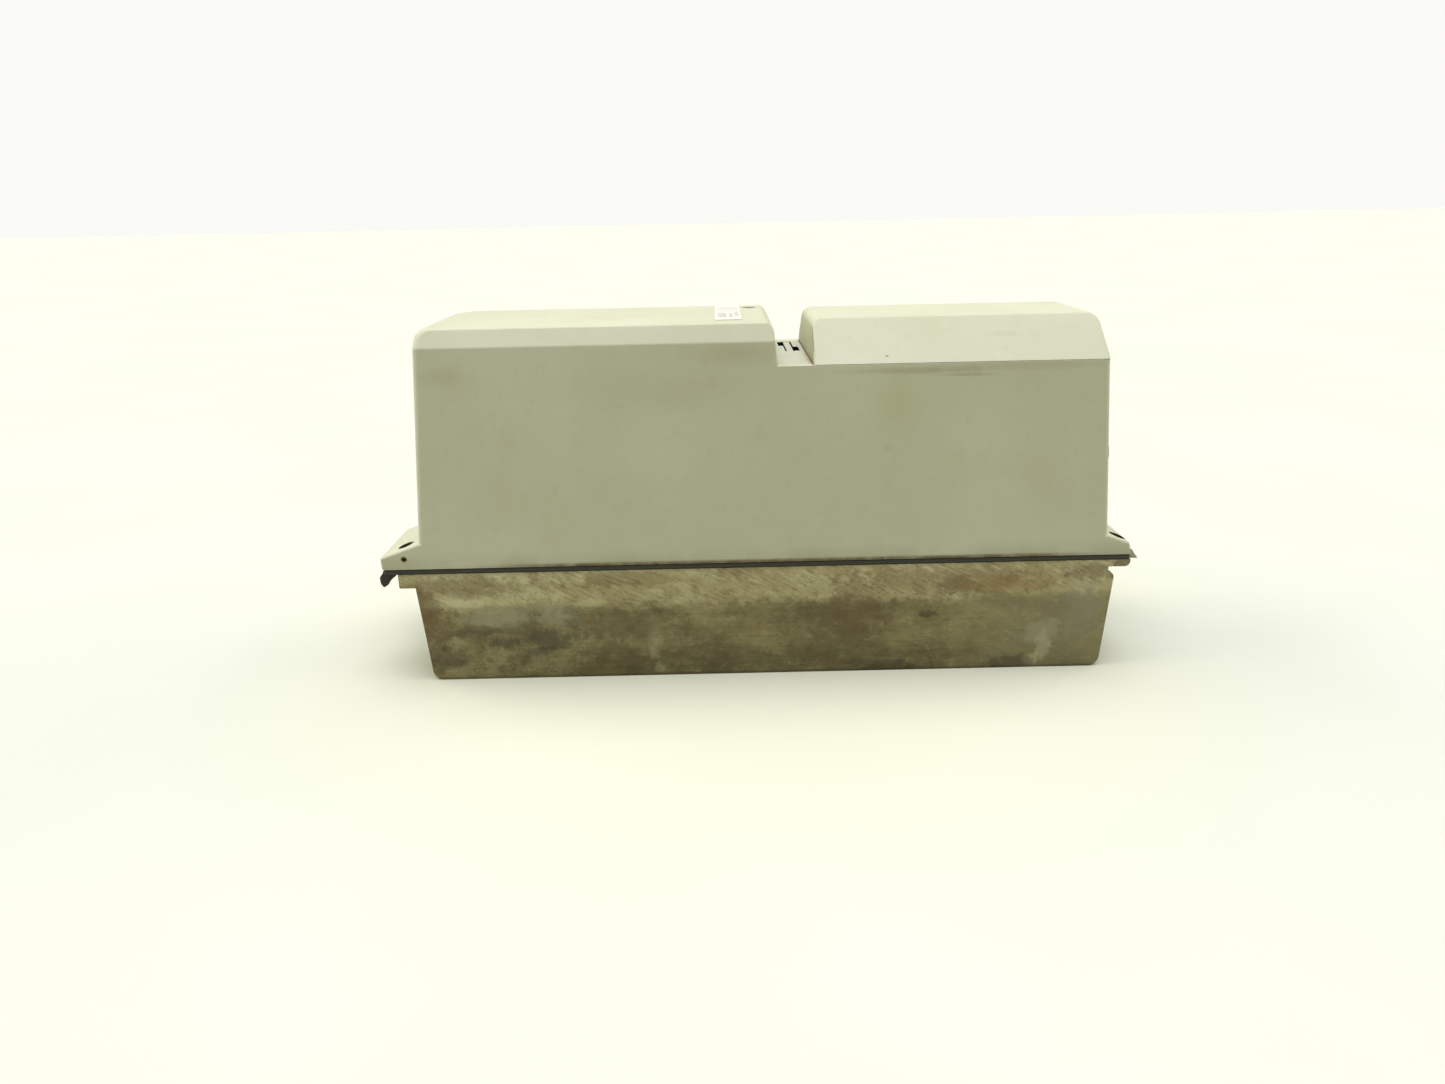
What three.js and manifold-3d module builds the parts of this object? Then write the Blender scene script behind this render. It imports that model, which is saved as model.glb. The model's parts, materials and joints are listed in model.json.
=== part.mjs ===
// A sealed variable frequency drive lying on its heatsink fins: a finned aluminium base, a rubber gasket,
// a drafted plastic cover held by four corner screws, a snap-on terminal lid, and the power and control
// electronics inside. Millimetres, +Z up, +X along the drive towards the terminals.
import * as THREE from "three";
import { mergeVertices } from "three/addons/utils/BufferGeometryUtils.js";
import Module from "manifold-3d";

// ---- Driving dimensions -------------------------------------------------------------------------------
const LENGTH = 352; // over the cover's fixing lugs
const WIDTH = 94; // over the heatsink and the cover's foot
const HEIGHT = 166.4; // floor to the flat tops
const GAP = 0.3; // between pieces that are cut to fit each other
const SEAT = 0.1; // between flat faces that rest on each other

const PLATE_TOP = 54.8;
const PLATE_THICKNESS = 6.8;
const PLATE_LEFT = -168.4;
const PLATE_RIGHT = 175;
const GASKET_THICKNESS = 2.4;
const FOOT = PLATE_TOP + GASKET_THICKNESS + 2 * SEAT; // underside of the cover

const WALL = 3;
const FOOT_LEFT = -158.5; // end walls of the cover at its foot
const FOOT_RIGHT = 164.5;
const END_DRAFT = Math.tan(THREE.MathUtils.degToRad(4.4));
const SIDE_DRAFT = Math.tan(THREE.MathUtils.degToRad(2.5));
const DECK = 148; // notch floor, and the seam under the terminal lid
const NOTCH_LEFT = 9.9;
const NOTCH_RIGHT = 25.9;
const TOP_ROUND = 4.5; // rounding of the short top edges
const CHAMFER_FOOT = 158.6; // where the left top's side chamfers begin
const CHAMFER_INSET = 5;
const LUG_GAP = { near: -3.5, far: 15 }; // in y, between the two lugs of an end
const SLOT = { y: (LUG_GAP.near + LUG_GAP.far) / 2, width: 7, left: -162, right: 167.5 }; // in the plate
const LUG = { shoulder: 63.1, leftTop: 69.6, rightTop: 66.9, leftTuck: 0.6, rightLean: 2, root: 6 };

const FINS = { count: 9, thickness: 3, leftTop: -160.9, leftFoot: -157.1, right: 165 };
const HOOK = { tip: 168.2, drop: 0.6, lip: 3.4 }; // at the right end, under the plate's thinned edge
const SCREW_HOLE = 2.4; // radius, for every screw into the base plate
const HEAD_HOLE = 3.6; // radius, for the heads of the cover and terminal screws
const HOLE_TOP = 60; // above the plate and the gasket

const OPENING = { left: 33, right: 149.5, half: 33.5, corner: 4 }; // wiring opening in the deck
const LATCH = { x: 18.75, width: 3.4, near: 1.4, far: 33.1, pivotY: 40 };
const LENS = { x: 0, y: 27.5, radius: 4 };
const LUG_SCREW_SEAT = 60.6; // where the heads rest, sunk in the slope of the lugs
const LUG_SCREWS = [
  { x: -165, y: -39.2, tip: 50.5 },
  { x: -165, y: 39.2, tip: 50.5 },
  { x: 170, y: -40.7, tip: 52 },
  { x: 170, y: 40.7, tip: 52 },
];
const LUG_DIMPLE = { x: -164.6, z: 62.4, radius: 1.5 }; // blind hole in the near left lug's side
const ENTRY = { z: 103, pitch: 24.5, thread: 8, head: 11 };
const ENTRIES = [-1, 0, 1].map((i) => i * ENTRY.pitch); // the y of each, in the right end wall
const EARTH = { x: 154, y: -30 };
const LABEL = { left: -17.4, right: -5, near: -26, far: 35, thickness: 0.15 };
const SEAL = { left: 29.6, right: 151, half: 36.4, height: 1.8 };
const KEEPER = { left: 33.6, right: 35.6, near: 3, far: 14 }; // the lid's catch for the latch tongue
const LID_TONGUES = { left: 153.2, right: 154.9, half: 4, places: [-22, 22] };

const POWER_BOARD_Z = 76;
const CONTROL_BOARD_Z = 118;
const BOARD = 1.6;
const POWER_BOARD = { left: -148, right: 148, half: 38.5 };
const CONTROL_BOARD = { left: -20, right: 96, half: 34 };
const POSTS = [-140, 0, 140].flatMap((x) => [-33, 33].map((y) => ({ x, y })));
const PILLARS = [-14, 90].flatMap((x) => [-28, 28].map((y) => ({ x, y })));
const MODULE = { x: -40, length: 107, width: 45, height: 17, flange: 4, ear: 6, hole: 2.8, pad: 0.5 };
const CAPACITOR = { radius: 15, height: 45, columns: [-128, -94], rows: [-17, 17] };
const CHOKE = { x: -58, ring: 14, tube: 7.5, lift: 3, cradle: { length: 16, width: 34, height: 6 } };
const RELAY = { x: -30, y: 20, length: 12.5, width: 29, height: 20 };
const SENSOR = { x: 14, places: [-14, 14], length: 12, width: 20, height: 20, window: 8 };
const HEADER = { x: 44, length: 9, width: 32, height: 8, slit: 2.4, slitWidth: 27, slitDepth: 4 };
const RIBBON = { half: 13, thickness: 1, bulge: 8 };
const PROCESSOR = { x: 20, y: 4, side: 20, height: 2.4 };
const LED = { radius: 2.2, height: 3 };
const TRIMMER = { x: 60, y: 18, side: 10, height: 5, rotor: 3.4, rotorTop: 7.5 };
const JUMPER = { x: 60, y: -16, length: 5.2, width: 2.6, height: 8 };

// ---- Solids -------------------------------------------------------------------------------------------
const wasm = await Module();
wasm.setup();

function solid(geometry) {
  const plain = geometry.clone();
  for (const name of ["normal", "uv"]) plain.deleteAttribute(name);
  const merged = mergeVertices(plain, 1e-4);
  return new wasm.Manifold(
    new wasm.Mesh({
      numProp: 3,
      vertProperties: merged.attributes.position.array,
      triVerts: new Uint32Array(merged.index.array),
    }),
  );
}

function geometryOf(manifold) {
  const mesh = manifold.getMesh();
  const geometry = new THREE.BufferGeometry();
  geometry.setAttribute("position", new THREE.BufferAttribute(mesh.vertProperties, 3));
  geometry.setIndex(new THREE.BufferAttribute(mesh.triVerts, 1));
  geometry.computeVertexNormals();
  return geometry;
}

const join = (pieces) => pieces.reduce((whole, piece) => whole.add(piece));
const cut = (body, tools) => tools.reduce((rest, tool) => rest.subtract(tool), body);

function block(x0, x1, y0, y1, z0, z1) {
  const box = new THREE.BoxGeometry(x1 - x0, y1 - y0, z1 - z0);
  return solid(box.translate((x0 + x1) / 2, (y0 + y1) / 2, (z0 + z1) / 2));
}

const blockAt = (x, y, lengthX, lengthY, z0, z1) =>
  block(x - lengthX / 2, x + lengthX / 2, y - lengthY / 2, y + lengthY / 2, z0, z1);

function rod(radius, x, y, z0, z1, sides = 16) {
  const cylinder = new THREE.CylinderGeometry(radius, radius, z1 - z0, sides);
  return solid(cylinder.rotateX(Math.PI / 2).translate(x, y, (z0 + z1) / 2));
}

// Points of a polygon with each corner rounded: corners are [x, y, radius].
function rounded(corners, steps = 4) {
  return corners.flatMap(([x, y, radius], i) => {
    const corner = new THREE.Vector2(x, y);
    if (!radius) return [corner];
    const [before, after] = [corners.at(i - 1), corners[(i + 1) % corners.length]].map(
      ([px, py]) => new THREE.Vector2(px, py).sub(corner).normalize(),
    );
    const half = Math.acos(THREE.MathUtils.clamp(before.dot(after), -1, 1)) / 2;
    const centre = before.clone().add(after).normalize().multiplyScalar(radius / Math.sin(half)).add(corner);
    const start = corner.clone().addScaledVector(before, radius / Math.tan(half)).sub(centre);
    const end = corner.clone().addScaledVector(after, radius / Math.tan(half)).sub(centre);
    const turn = Math.atan2(start.cross(end), start.dot(end));
    return Array.from({ length: steps + 1 }, (_, k) =>
      start.clone().rotateAround(new THREE.Vector2(), (turn * k) / steps).add(centre),
    );
  });
}

const rectangle = (x0, x1, y0, y1, radius = 0) => [
  [x0, y0, radius],
  [x1, y0, radius],
  [x1, y1, radius],
  [x0, y1, radius],
];

// A flat outline in X and Y, raised from z0 to z1.
function slab(corners, z0, z1, steps) {
  const outline = new THREE.Shape(rounded(corners, steps));
  const raised = new THREE.ExtrudeGeometry(outline, { depth: z1 - z0, bevelEnabled: false });
  return solid(raised.translate(0, 0, z0));
}

// An outline in X and Z, drawn out from y0 to y1.
function profile(corners, y0, y1, steps) {
  const outline = new THREE.Shape(rounded(corners, steps));
  const drawn = new THREE.ExtrudeGeometry(outline, { depth: y1 - y0, bevelEnabled: false });
  return solid(drawn.rotateX(Math.PI / 2).translate(0, y1, 0));
}

// A stack of rounded rectangles, each { z, left, right, half, corner }, skinned into one closed body.
function loft(sections, steps = 3) {
  const rings = sections.map(({ z, left, right, half, corner }) =>
    rounded(rectangle(left, right, -half, half, corner), steps).map((p) => [p.x, p.y, z]),
  );
  const count = rings[0].length;
  const index = [];
  for (let k = 0; k + 1 < rings.length; k++) {
    for (let i = 0; i < count; i++) {
      const [a, b] = [k * count + i, k * count + ((i + 1) % count)];
      index.push(a, b, b + count, a, b + count, a + count);
    }
  }
  const last = (rings.length - 1) * count;
  for (let i = 1; i + 1 < count; i++) {
    index.push(0, i + 1, i, last, last + i, last + i + 1);
  }
  const geometry = new THREE.BufferGeometry();
  geometry.setAttribute("position", new THREE.Float32BufferAttribute(rings.flat(2), 3));
  return solid(geometry.setIndex(index));
}

// A body of revolution about the vertical through (x, y): points are [radius, z], from the axis to the axis.
function turned(points, x, y, sides = 16) {
  const outline = points.map(([radius, z]) => new THREE.Vector2(radius, z));
  return solid(new THREE.LatheGeometry(outline, sides).rotateX(Math.PI / 2).translate(x, y, 0));
}

// ---- Shapes shared by the cover and its lid ------------------------------------------------------------
const leftWall = (z, inset = 0) => FOOT_LEFT + (z - FOOT) * END_DRAFT + inset;
const rightWall = (z, inset = 0) => FOOT_RIGHT - (z - FOOT) * END_DRAFT - inset;
const sideWall = (z, inset = 0) => WIDTH / 2 - (z - FOOT) * SIDE_DRAFT - inset;
const notchLeft = (z) => NOTCH_LEFT - (z - DECK) * 0.09;
const notchRight = (z) => NOTCH_RIGHT + (z - DECK) * 0.03;

// Heights and insets of a quarter round that ends at the top face.
const roundSteps = (count = 4) =>
  Array.from({ length: count + 1 }, (_, k) => {
    const angle = (Math.PI / 2) * (k / count);
    return { z: HEIGHT - TOP_ROUND * (1 - Math.sin(angle)), inset: TOP_ROUND * (1 - Math.cos(angle)) };
  });

const chamferSide = (z) =>
  sideWall(CHAMFER_FOOT) - (CHAMFER_INSET * (z - CHAMFER_FOOT)) / (HEIGHT - CHAMFER_FOOT);
const hipSide = (z) => sideWall(DECK) - (z - DECK); // the lid's long sides slope at 45 degrees

// ---- Heatsink side ------------------------------------------------------------------------------------
const MODULE_EARS = [-1, 1].map((side) => ({
  x: MODULE.x + side * (MODULE.length / 2 - MODULE.ear),
  y: 0,
}));
const plateBottom = PLATE_TOP - PLATE_THICKNESS;

// Only the two outer fins have a hook at the right end.
function heatsink() {
  const edge = WIDTH / 2;
  const lipBottom = PLATE_TOP - HOOK.lip;
  const underLip = block(FINS.right, PLATE_RIGHT + 1, -edge - 1, edge + 1, plateBottom - 1, lipBottom);
  const plate = block(PLATE_LEFT, PLATE_RIGHT, -edge, edge, plateBottom, PLATE_TOP).subtract(underLip);
  const grooveBottom = plateBottom + HOOK.drop;
  const hook = [
    [HOOK.tip, grooveBottom, 2],
    [FINS.right, grooveBottom, 0],
  ];
  const finOutline = (end) => [
    [FINS.leftTop, plateBottom + 1, 0],
    [FINS.leftFoot, 0, 4.5],
    [FINS.right, 0, 5],
    ...end,
    [FINS.right, plateBottom + 1, 0],
  ];
  const pitch = (WIDTH - FINS.thickness) / (FINS.count - 1);
  const fins = Array.from({ length: FINS.count }, (_, i) => {
    const outer = i === 0 || i === FINS.count - 1;
    const y = -edge + i * pitch;
    return profile(finOutline(outer ? hook : []), y, y + FINS.thickness, 3);
  });
  const slots = [
    [PLATE_LEFT - 5, SLOT.left],
    [SLOT.right, PLATE_RIGHT + 5],
  ].map(([x0, x1]) => {
    const outline = rectangle(x0, x1, SLOT.y - SLOT.width / 2, SLOT.y + SLOT.width / 2, 3.4);
    return slab(outline, 40, HOLE_TOP);
  });
  const screwHoles = LUG_SCREWS.map(({ x, y, tip }) => rod(SCREW_HOLE, x, y, tip - 1, HOLE_TOP, 10));
  const blindHole = ({ x, y }) => rod(SCREW_HOLE, x, y, PLATE_TOP - 6, HOLE_TOP, 10);
  const moduleHoles = MODULE_EARS.map(blindHole);
  const earthHole = blindHole(EARTH);
  const body = join([plate, ...fins]);
  return cut(body, [...slots, ...screwHoles, ...moduleHoles, earthHole]);
}

const gapEdge = (side) => Math.abs(side < 0 ? LUG_GAP.near : LUG_GAP.far);

// One fixing lug of the cover: end and side are -1 or 1. Its top slopes up to the end wall.
function lug(end, side) {
  const wall = end < 0 ? leftWall : rightWall;
  const [tip, root] = [(end * LENGTH) / 2, wall(HEIGHT) - end * LUG.root];
  const slopeTopZ = end < 0 ? LUG.leftTop : LUG.rightTop;
  const [footX, shoulderX] = end < 0 ? [tip + LUG.leftTuck, tip] : [tip, tip - LUG.rightLean];
  const sections = [
    { z: FOOT, x: footX },
    { z: LUG.shoulder, x: shoulderX },
    { z: slopeTopZ, x: wall(slopeTopZ) },
  ].map(({ z, x }) => ({
    z,
    left: Math.min(x, root),
    right: Math.max(x, root),
    half: (sideWall(z) - gapEdge(side)) / 2,
    corner: 1,
  }));
  const middle = (sideWall(FOOT) + gapEdge(side)) / 2;
  return loft(sections, 2).translate([0, side * middle, 0]);
}

const EVERY_LUG = [-1, 1].flatMap((end) => [-1, 1].map((side) => [end, side]));

function baseGasket() {
  const z0 = PLATE_TOP + SEAT;
  const z1 = z0 + GASKET_THICKNESS;
  const edge = WIDTH / 2;
  const ring = slab(rectangle(FOOT_LEFT, FOOT_RIGHT, -edge, edge, 3), z0, z1);
  const lugs = EVERY_LUG.map(([end, side]) => {
    const [tip, root] = end < 0 ? [-LENGTH / 2 + 1, -156] : [LENGTH / 2 - 1, 162];
    const [inner, outer] = [side * gapEdge(side), side * edge];
    const corners = [[root, inner, 0], [tip, inner, 1], [tip, outer, 1], [root, outer, 0]];
    return slab(end * side > 0 ? corners : corners.reverse(), z0, z1, 2);
  });
  const inside = slab(rectangle(FOOT_LEFT + 4, FOOT_RIGHT - 4, -edge + 4, edge - 4, 2), z0 - 1, z1 + 1);
  const holes = LUG_SCREWS.map(({ x, y }) => rod(SCREW_HOLE, x, y, z0 - 1, z1 + 1, 10));
  return cut(join([ring, ...lugs]), [inside, ...holes]);
}

function thermalPad() {
  const z0 = PLATE_TOP + SEAT;
  const pad = blockAt(MODULE.x, 0, MODULE.length, MODULE.width, z0, z0 + MODULE.pad);
  const holes = MODULE_EARS.map(({ x, y }) => rod(MODULE.hole, x, y, z0 - 1, z0 + 2, 10));
  return cut(pad, holes);
}

const MODULE_FOOT = PLATE_TOP + MODULE.pad + 2 * SEAT;

function powerModule() {
  const { x, length, width, height } = MODULE;
  const plan = rectangle(x - length / 2, x + length / 2, -width / 2, width / 2, 3);
  const flange = slab(plan, MODULE_FOOT, MODULE_FOOT + MODULE.flange, 2);
  const inner = length / 2 - 13;
  const outline = rectangle(x - inner, x + inner, -width / 2 + 1, width / 2 - 1, 2);
  const housing = slab(outline, MODULE_FOOT, MODULE_FOOT + height, 2);
  const holes = MODULE_EARS.map((ear) =>
    rod(MODULE.hole, ear.x, ear.y, MODULE_FOOT - 1, MODULE_FOOT + 6, 10),
  );
  return cut(join([flange, housing]), holes);
}

// A pan-head screw, head seat at z, its shank reaching down to tip, with a cross slot in its head.
function panScrew(x, y, z, tip, headRadius, headHeight, shank) {
  const body = turned(
    [
      [0, tip],
      [shank, tip],
      [shank, z],
      [headRadius, z],
      [headRadius, z + headHeight * 0.6],
      [headRadius * 0.7, z + headHeight],
      [0, z + headHeight],
    ],
    x,
    y,
    10,
  );
  const slots = [
    blockAt(x, y, headRadius * 1.3, 0.9, z + headHeight * 0.45, z + headHeight + 1),
    blockAt(x, y, 0.9, headRadius * 1.3, z + headHeight * 0.45, z + headHeight + 1),
  ];
  return cut(body, slots);
}

const hexPost = (x, y, z0, z1) => rod(2.9, x, y, z0, z1, 6);

// A circuit board with its mounting holes.
function board({ left, right, half }, z, holes) {
  const sheet = slab(rectangle(left, right, -half, half, 2), z, z + BOARD, 2);
  return cut(
    sheet,
    holes.map(({ x, y }) => rod(1.7, x, y, z - 1, z + BOARD + 1, 8)),
  );
}

const ON_POWER = POWER_BOARD_Z + BOARD + SEAT;
const ON_CONTROL = CONTROL_BOARD_Z + BOARD + SEAT;

function capacitor(x, y) {
  const [radius, top] = [CAPACITOR.radius, ON_POWER + CAPACITOR.height];
  return turned(
    [
      [0, ON_POWER],
      [radius - 1, ON_POWER],
      [radius, ON_POWER + 1],
      [radius, ON_POWER + 3],
      [radius - 0.8, ON_POWER + 4],
      [radius, ON_POWER + 5],
      [radius, top - 1],
      [radius - 1, top],
      [radius - 2.5, top],
      [radius - 3, top - 0.6],
      [0, top - 0.6],
    ],
    x,
    y,
    16,
  );
}

function choke() {
  const { x, ring, tube, lift, cradle } = CHOKE;
  const torus = new THREE.TorusGeometry(ring, tube, 8, 20);
  const coil = solid(torus.rotateY(Math.PI / 2).translate(x, 0, ON_POWER + lift + ring + tube));
  return join([coil, blockAt(x, 0, cradle.length, cradle.width, ON_POWER, ON_POWER + cradle.height)]);
}

function relay() {
  const { x, y, length, width, height } = RELAY;
  return blockAt(x, y, length, width, ON_POWER, ON_POWER + height);
}

function currentSensor(y) {
  const { x, length, width, height, window } = SENSOR;
  const body = blockAt(x, y, length, width, ON_POWER, ON_POWER + height);
  return cut(body, [blockAt(x, y, length + 2, window, ON_POWER + window, ON_POWER + 2 * window)]);
}

const POLES = [-25, -15, -5, 5, 15, 25];
const TERMINAL = { left: 118, right: 138, half: 30.5, screwX: 125, top: ON_POWER + 20 };

function powerTerminals() {
  const { left, right, half, screwX, top } = TERMINAL;
  const body = block(left, right, -half, half, ON_POWER, top);
  const ledge = block(right - 6, right + 1, -half - 1, half + 1, ON_POWER + 14, top + 1);
  const wells = POLES.map((y) => rod(HEAD_HOLE, screwX, y, top - 8, top + 1, 10));
  const wireHoles = POLES.map((y) =>
    block(right - 9, right + 1, y - 3.2, y + 3.2, ON_POWER + 3, ON_POWER + 11),
  );
  return cut(body, [ledge, ...wells, ...wireHoles]);
}

const CONTROL_TERMINAL = { near: -26, far: 26, left: 74, right: 84, height: 12, poles: 10 };

function controlTerminals() {
  const { near, far, left, right, height, poles } = CONTROL_TERMINAL;
  const top = ON_CONTROL + height;
  const body = block(left, right, near, far, ON_CONTROL, top);
  const pitch = (far - near) / poles;
  const holes = Array.from({ length: poles }, (_, i) => near + (i + 0.5) * pitch).flatMap((y) => [
    block(left + 5, left + 8, y - 1.5, y + 1.5, top - 4, top + 1),
    block(right - 4, right + 1, y - 1.5, y + 1.5, ON_CONTROL + 2, ON_CONTROL + 6),
  ]);
  return cut(body, holes);
}

// A flat ribbon that climbs from the power board to the underside of the control board.
function ribbon() {
  const foot = ON_POWER + HEADER.height + SEAT;
  const head = CONTROL_BOARD_Z - HEADER.height - SEAT;
  const steps = 10;
  const side = (offset) =>
    Array.from({ length: steps + 1 }, (_, k) => {
      const t = k / steps;
      return [HEADER.x + RIBBON.bulge * Math.sin(Math.PI * t) ** 2 + offset, foot + (head - foot) * t, 0];
    });
  return profile([...side(RIBBON.thickness), ...side(0).reverse()], -RIBBON.half, RIBBON.half);
}

// A pin header whose slit opens away from its board.
function header(z, slitFrom) {
  const { x, length, width, height, slit, slitWidth, slitDepth } = HEADER;
  const slot = blockAt(x + RIBBON.thickness / 2, 0, slit, slitWidth, slitFrom, slitFrom + slitDepth + 1);
  return blockAt(x, 0, length, width, z, z + height).subtract(slot);
}

function processor() {
  const { x, y, side, height } = PROCESSOR;
  return blockAt(x, y, side, side, ON_CONTROL, ON_CONTROL + height);
}

function trimmerBody() {
  const { x, y, side, height } = TRIMMER;
  return blockAt(x, y, side, side, ON_CONTROL, ON_CONTROL + height);
}

function trimmerRotor() {
  const { x, y, height, rotor, rotorTop } = TRIMMER;
  const top = ON_CONTROL + rotorTop;
  const knob = rod(rotor, x, y, ON_CONTROL + height + GAP, top, 12);
  return knob.subtract(blockAt(x, y, 5.4, 1.1, top - 1.1, top + 1.5));
}

function modeJumper() {
  const { x, y, length, width, height } = JUMPER;
  return blockAt(x, y, length, width, ON_CONTROL, ON_CONTROL + height);
}

// ---- Cover side ---------------------------------------------------------------------------------------
function coverSkin() {
  const wallSection = (z, inset, corner) => ({
    z,
    left: leftWall(z, inset),
    right: rightWall(z, inset),
    half: sideWall(z, inset),
    corner,
  });
  const hull = loft([wallSection(FOOT, 0, 3), wallSection(DECK, 0, 3)]);
  const hullHollow = loft([wallSection(FOOT - 1, WALL, 1.5), wallSection(DECK - WALL, WALL, 1.5)]);
  const raised = loft([
    {
      z: DECK - 1,
      left: leftWall(DECK - 1),
      right: notchLeft(DECK - 1),
      half: sideWall(DECK - 1),
      corner: 3,
    },
    {
      z: CHAMFER_FOOT,
      left: leftWall(CHAMFER_FOOT),
      right: notchLeft(CHAMFER_FOOT),
      half: sideWall(CHAMFER_FOOT),
      corner: 3,
    },
    ...roundSteps().map(({ z, inset }) => ({
      z,
      left: leftWall(z, inset),
      right: notchLeft(z) - inset,
      half: chamferSide(z),
      corner: 3,
    })),
  ]);
  const crown = HEIGHT - WALL;
  const raisedHollow = loft([
    {
      z: DECK - WALL - 1,
      left: leftWall(DECK - WALL - 1, WALL + 0.1),
      right: notchLeft(DECK) - WALL,
      half: sideWall(DECK - WALL, WALL + 0.1),
      corner: 1.5,
    },
    {
      z: CHAMFER_FOOT - 1,
      left: leftWall(CHAMFER_FOOT, WALL + 0.1),
      right: notchLeft(CHAMFER_FOOT) - WALL,
      half: sideWall(CHAMFER_FOOT, WALL + 0.1),
      corner: 1.5,
    },
    {
      z: crown,
      left: leftWall(crown, WALL + 1.5),
      right: notchLeft(crown) - WALL - 1.5,
      half: chamferSide(crown) - WALL,
      corner: 1.5,
    },
  ]);
  return { outside: join([hull, raised]), hollow: join([hullHollow, raisedHollow]) };
}

// Windows beside the latch tongue: one straight slot with a square pocket at each end, on opposite sides.
function latchWindow() {
  const { x, width, near, far } = LATCH;
  const half = width / 2 + 0.5;
  return join([
    block(x - half, x + half, near - 0.5, far + 0.5, DECK - 8, DECK + 1),
    block(x - half - 2.3, x, 19, far - 0.6, DECK - 8, DECK + 1),
    block(x, x + half + 2.3, near + 0.6, 15.6, DECK - 8, DECK + 1),
  ]);
}

function mainCover() {
  const { outside, hollow } = coverSkin();
  const lugs = EVERY_LUG.map(([end, side]) => lug(end, side));
  const opening = slab(
    rectangle(OPENING.left, OPENING.right, -OPENING.half, OPENING.half, OPENING.corner),
    DECK - 8,
    DECK + 1,
    3,
  );
  const { left, right, half, places } = LID_TONGUES;
  const tongueSlots = places.map((y) =>
    block(left - 1.1, right + 0.5, y - half - 0.5, y + half + 0.5, DECK - 6, DECK + 1),
  );
  const screwHoles = LUG_SCREWS.flatMap(({ x, y }) => [
    rod(SCREW_HOLE, x, y, FOOT - 1, LUG_SCREW_SEAT - 0.1, 10),
    rod(HEAD_HOLE, x, y, LUG_SCREW_SEAT - 0.1, 80, 12),
  ]);
  const lensHole = rod(LENS.radius, LENS.x, LENS.y, HEIGHT - 8, HEIGHT + 1, 16);
  const dimple = new THREE.CylinderGeometry(LUG_DIMPLE.radius, LUG_DIMPLE.radius, 8, 8);
  const pinHole = solid(dimple.translate(LUG_DIMPLE.x, -WIDTH / 2, LUG_DIMPLE.z));
  const core = cut(join([outside, ...lugs]), [hollow]);
  const holes = [opening, latchWindow(), ...tongueSlots, ...screwHoles, lensHole, pinHole];
  return cut(core, [...holes, ...ENTRIES.map(entryHole)]);
}

// Puts a shape on the right end wall at its own y, square to the drafted wall.
function onEndWall(geometry, y) {
  const tilt = Math.atan(END_DRAFT);
  return geometry.rotateY(Math.PI / 2 - tilt).translate(rightWall(ENTRY.z), y, ENTRY.z);
}

const entryBore = (radius, depth) =>
  new THREE.CylinderGeometry(radius, radius, depth, 16).rotateX(Math.PI / 2);

const entryHole = (y) => solid(onEndWall(entryBore(ENTRY.thread + GAP, 12), y));

function entryPlug(y) {
  const [seat, rim] = [GAP, 3.3];
  const outline = [
    [0, -11],
    [ENTRY.thread - 1, -11],
    [ENTRY.thread, -10],
    [ENTRY.thread, seat],
    [ENTRY.head, seat],
    [ENTRY.head, rim - 1],
    [ENTRY.head - 1, rim],
    [0, rim],
  ].map(([radius, z]) => new THREE.Vector2(radius, z));
  const body = new THREE.LatheGeometry(outline, 16).rotateX(Math.PI / 2);
  const slot = new THREE.BoxGeometry(2, 15, 3).translate(0, 0, rim);
  return solid(onEndWall(body, y)).subtract(solid(onEndWall(slot, y)));
}

function entryNut(y) {
  const hex = new THREE.CylinderGeometry(ENTRY.head + 0.6, ENTRY.head + 0.6, 5, 6).rotateX(Math.PI / 2);
  const depth = -WALL - GAP - 2.5;
  const [body, bore] = [hex, entryBore(ENTRY.thread + GAP, 8)].map((shape) =>
    solid(onEndWall(shape.translate(0, 0, depth), y)),
  );
  return body.subtract(bore);
}

function lightPipe() {
  const [x, y] = [LENS.x, LENS.y];
  return turned(
    [
      [0, ON_CONTROL + 4],
      [2.4, ON_CONTROL + 4],
      [2.4, HEIGHT - 6],
      [LENS.radius - GAP, HEIGHT - 6],
      [LENS.radius - GAP, HEIGHT - 1.6],
      [LENS.radius - 1, HEIGHT - 1],
      [0, HEIGHT - 0.8],
    ],
    x,
    y,
    12,
  );
}

// The springy tongue that frees the lid: a bar in the notch floor, a foot under it and a side catch.
function latchTongue() {
  const { x, width, near, far, pivotY } = LATCH;
  const half = width / 2;
  const under = DECK - WALL - GAP;
  return join([
    block(x - half, x + half, near, far, DECK - 2, DECK - SEAT),
    block(x - half, x + half, far - 3, far, under - 3, DECK - 1),
    block(x - half - 2, x + half + 2, far - 3, pivotY, under - 2.4, under),
    block(x - half, x + half, near + 2, near + 10, under - 2.4, DECK - 1),
    block(x, OPENING.left - 0.6, near + 2, near + 10, under - 2.4, under),
  ]);
}

function ratingLabel() {
  const z = HEIGHT + SEAT;
  return slab(rectangle(LABEL.left, LABEL.right, LABEL.near, LABEL.far, 0.6), z, z + LABEL.thickness, 2);
}

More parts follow.
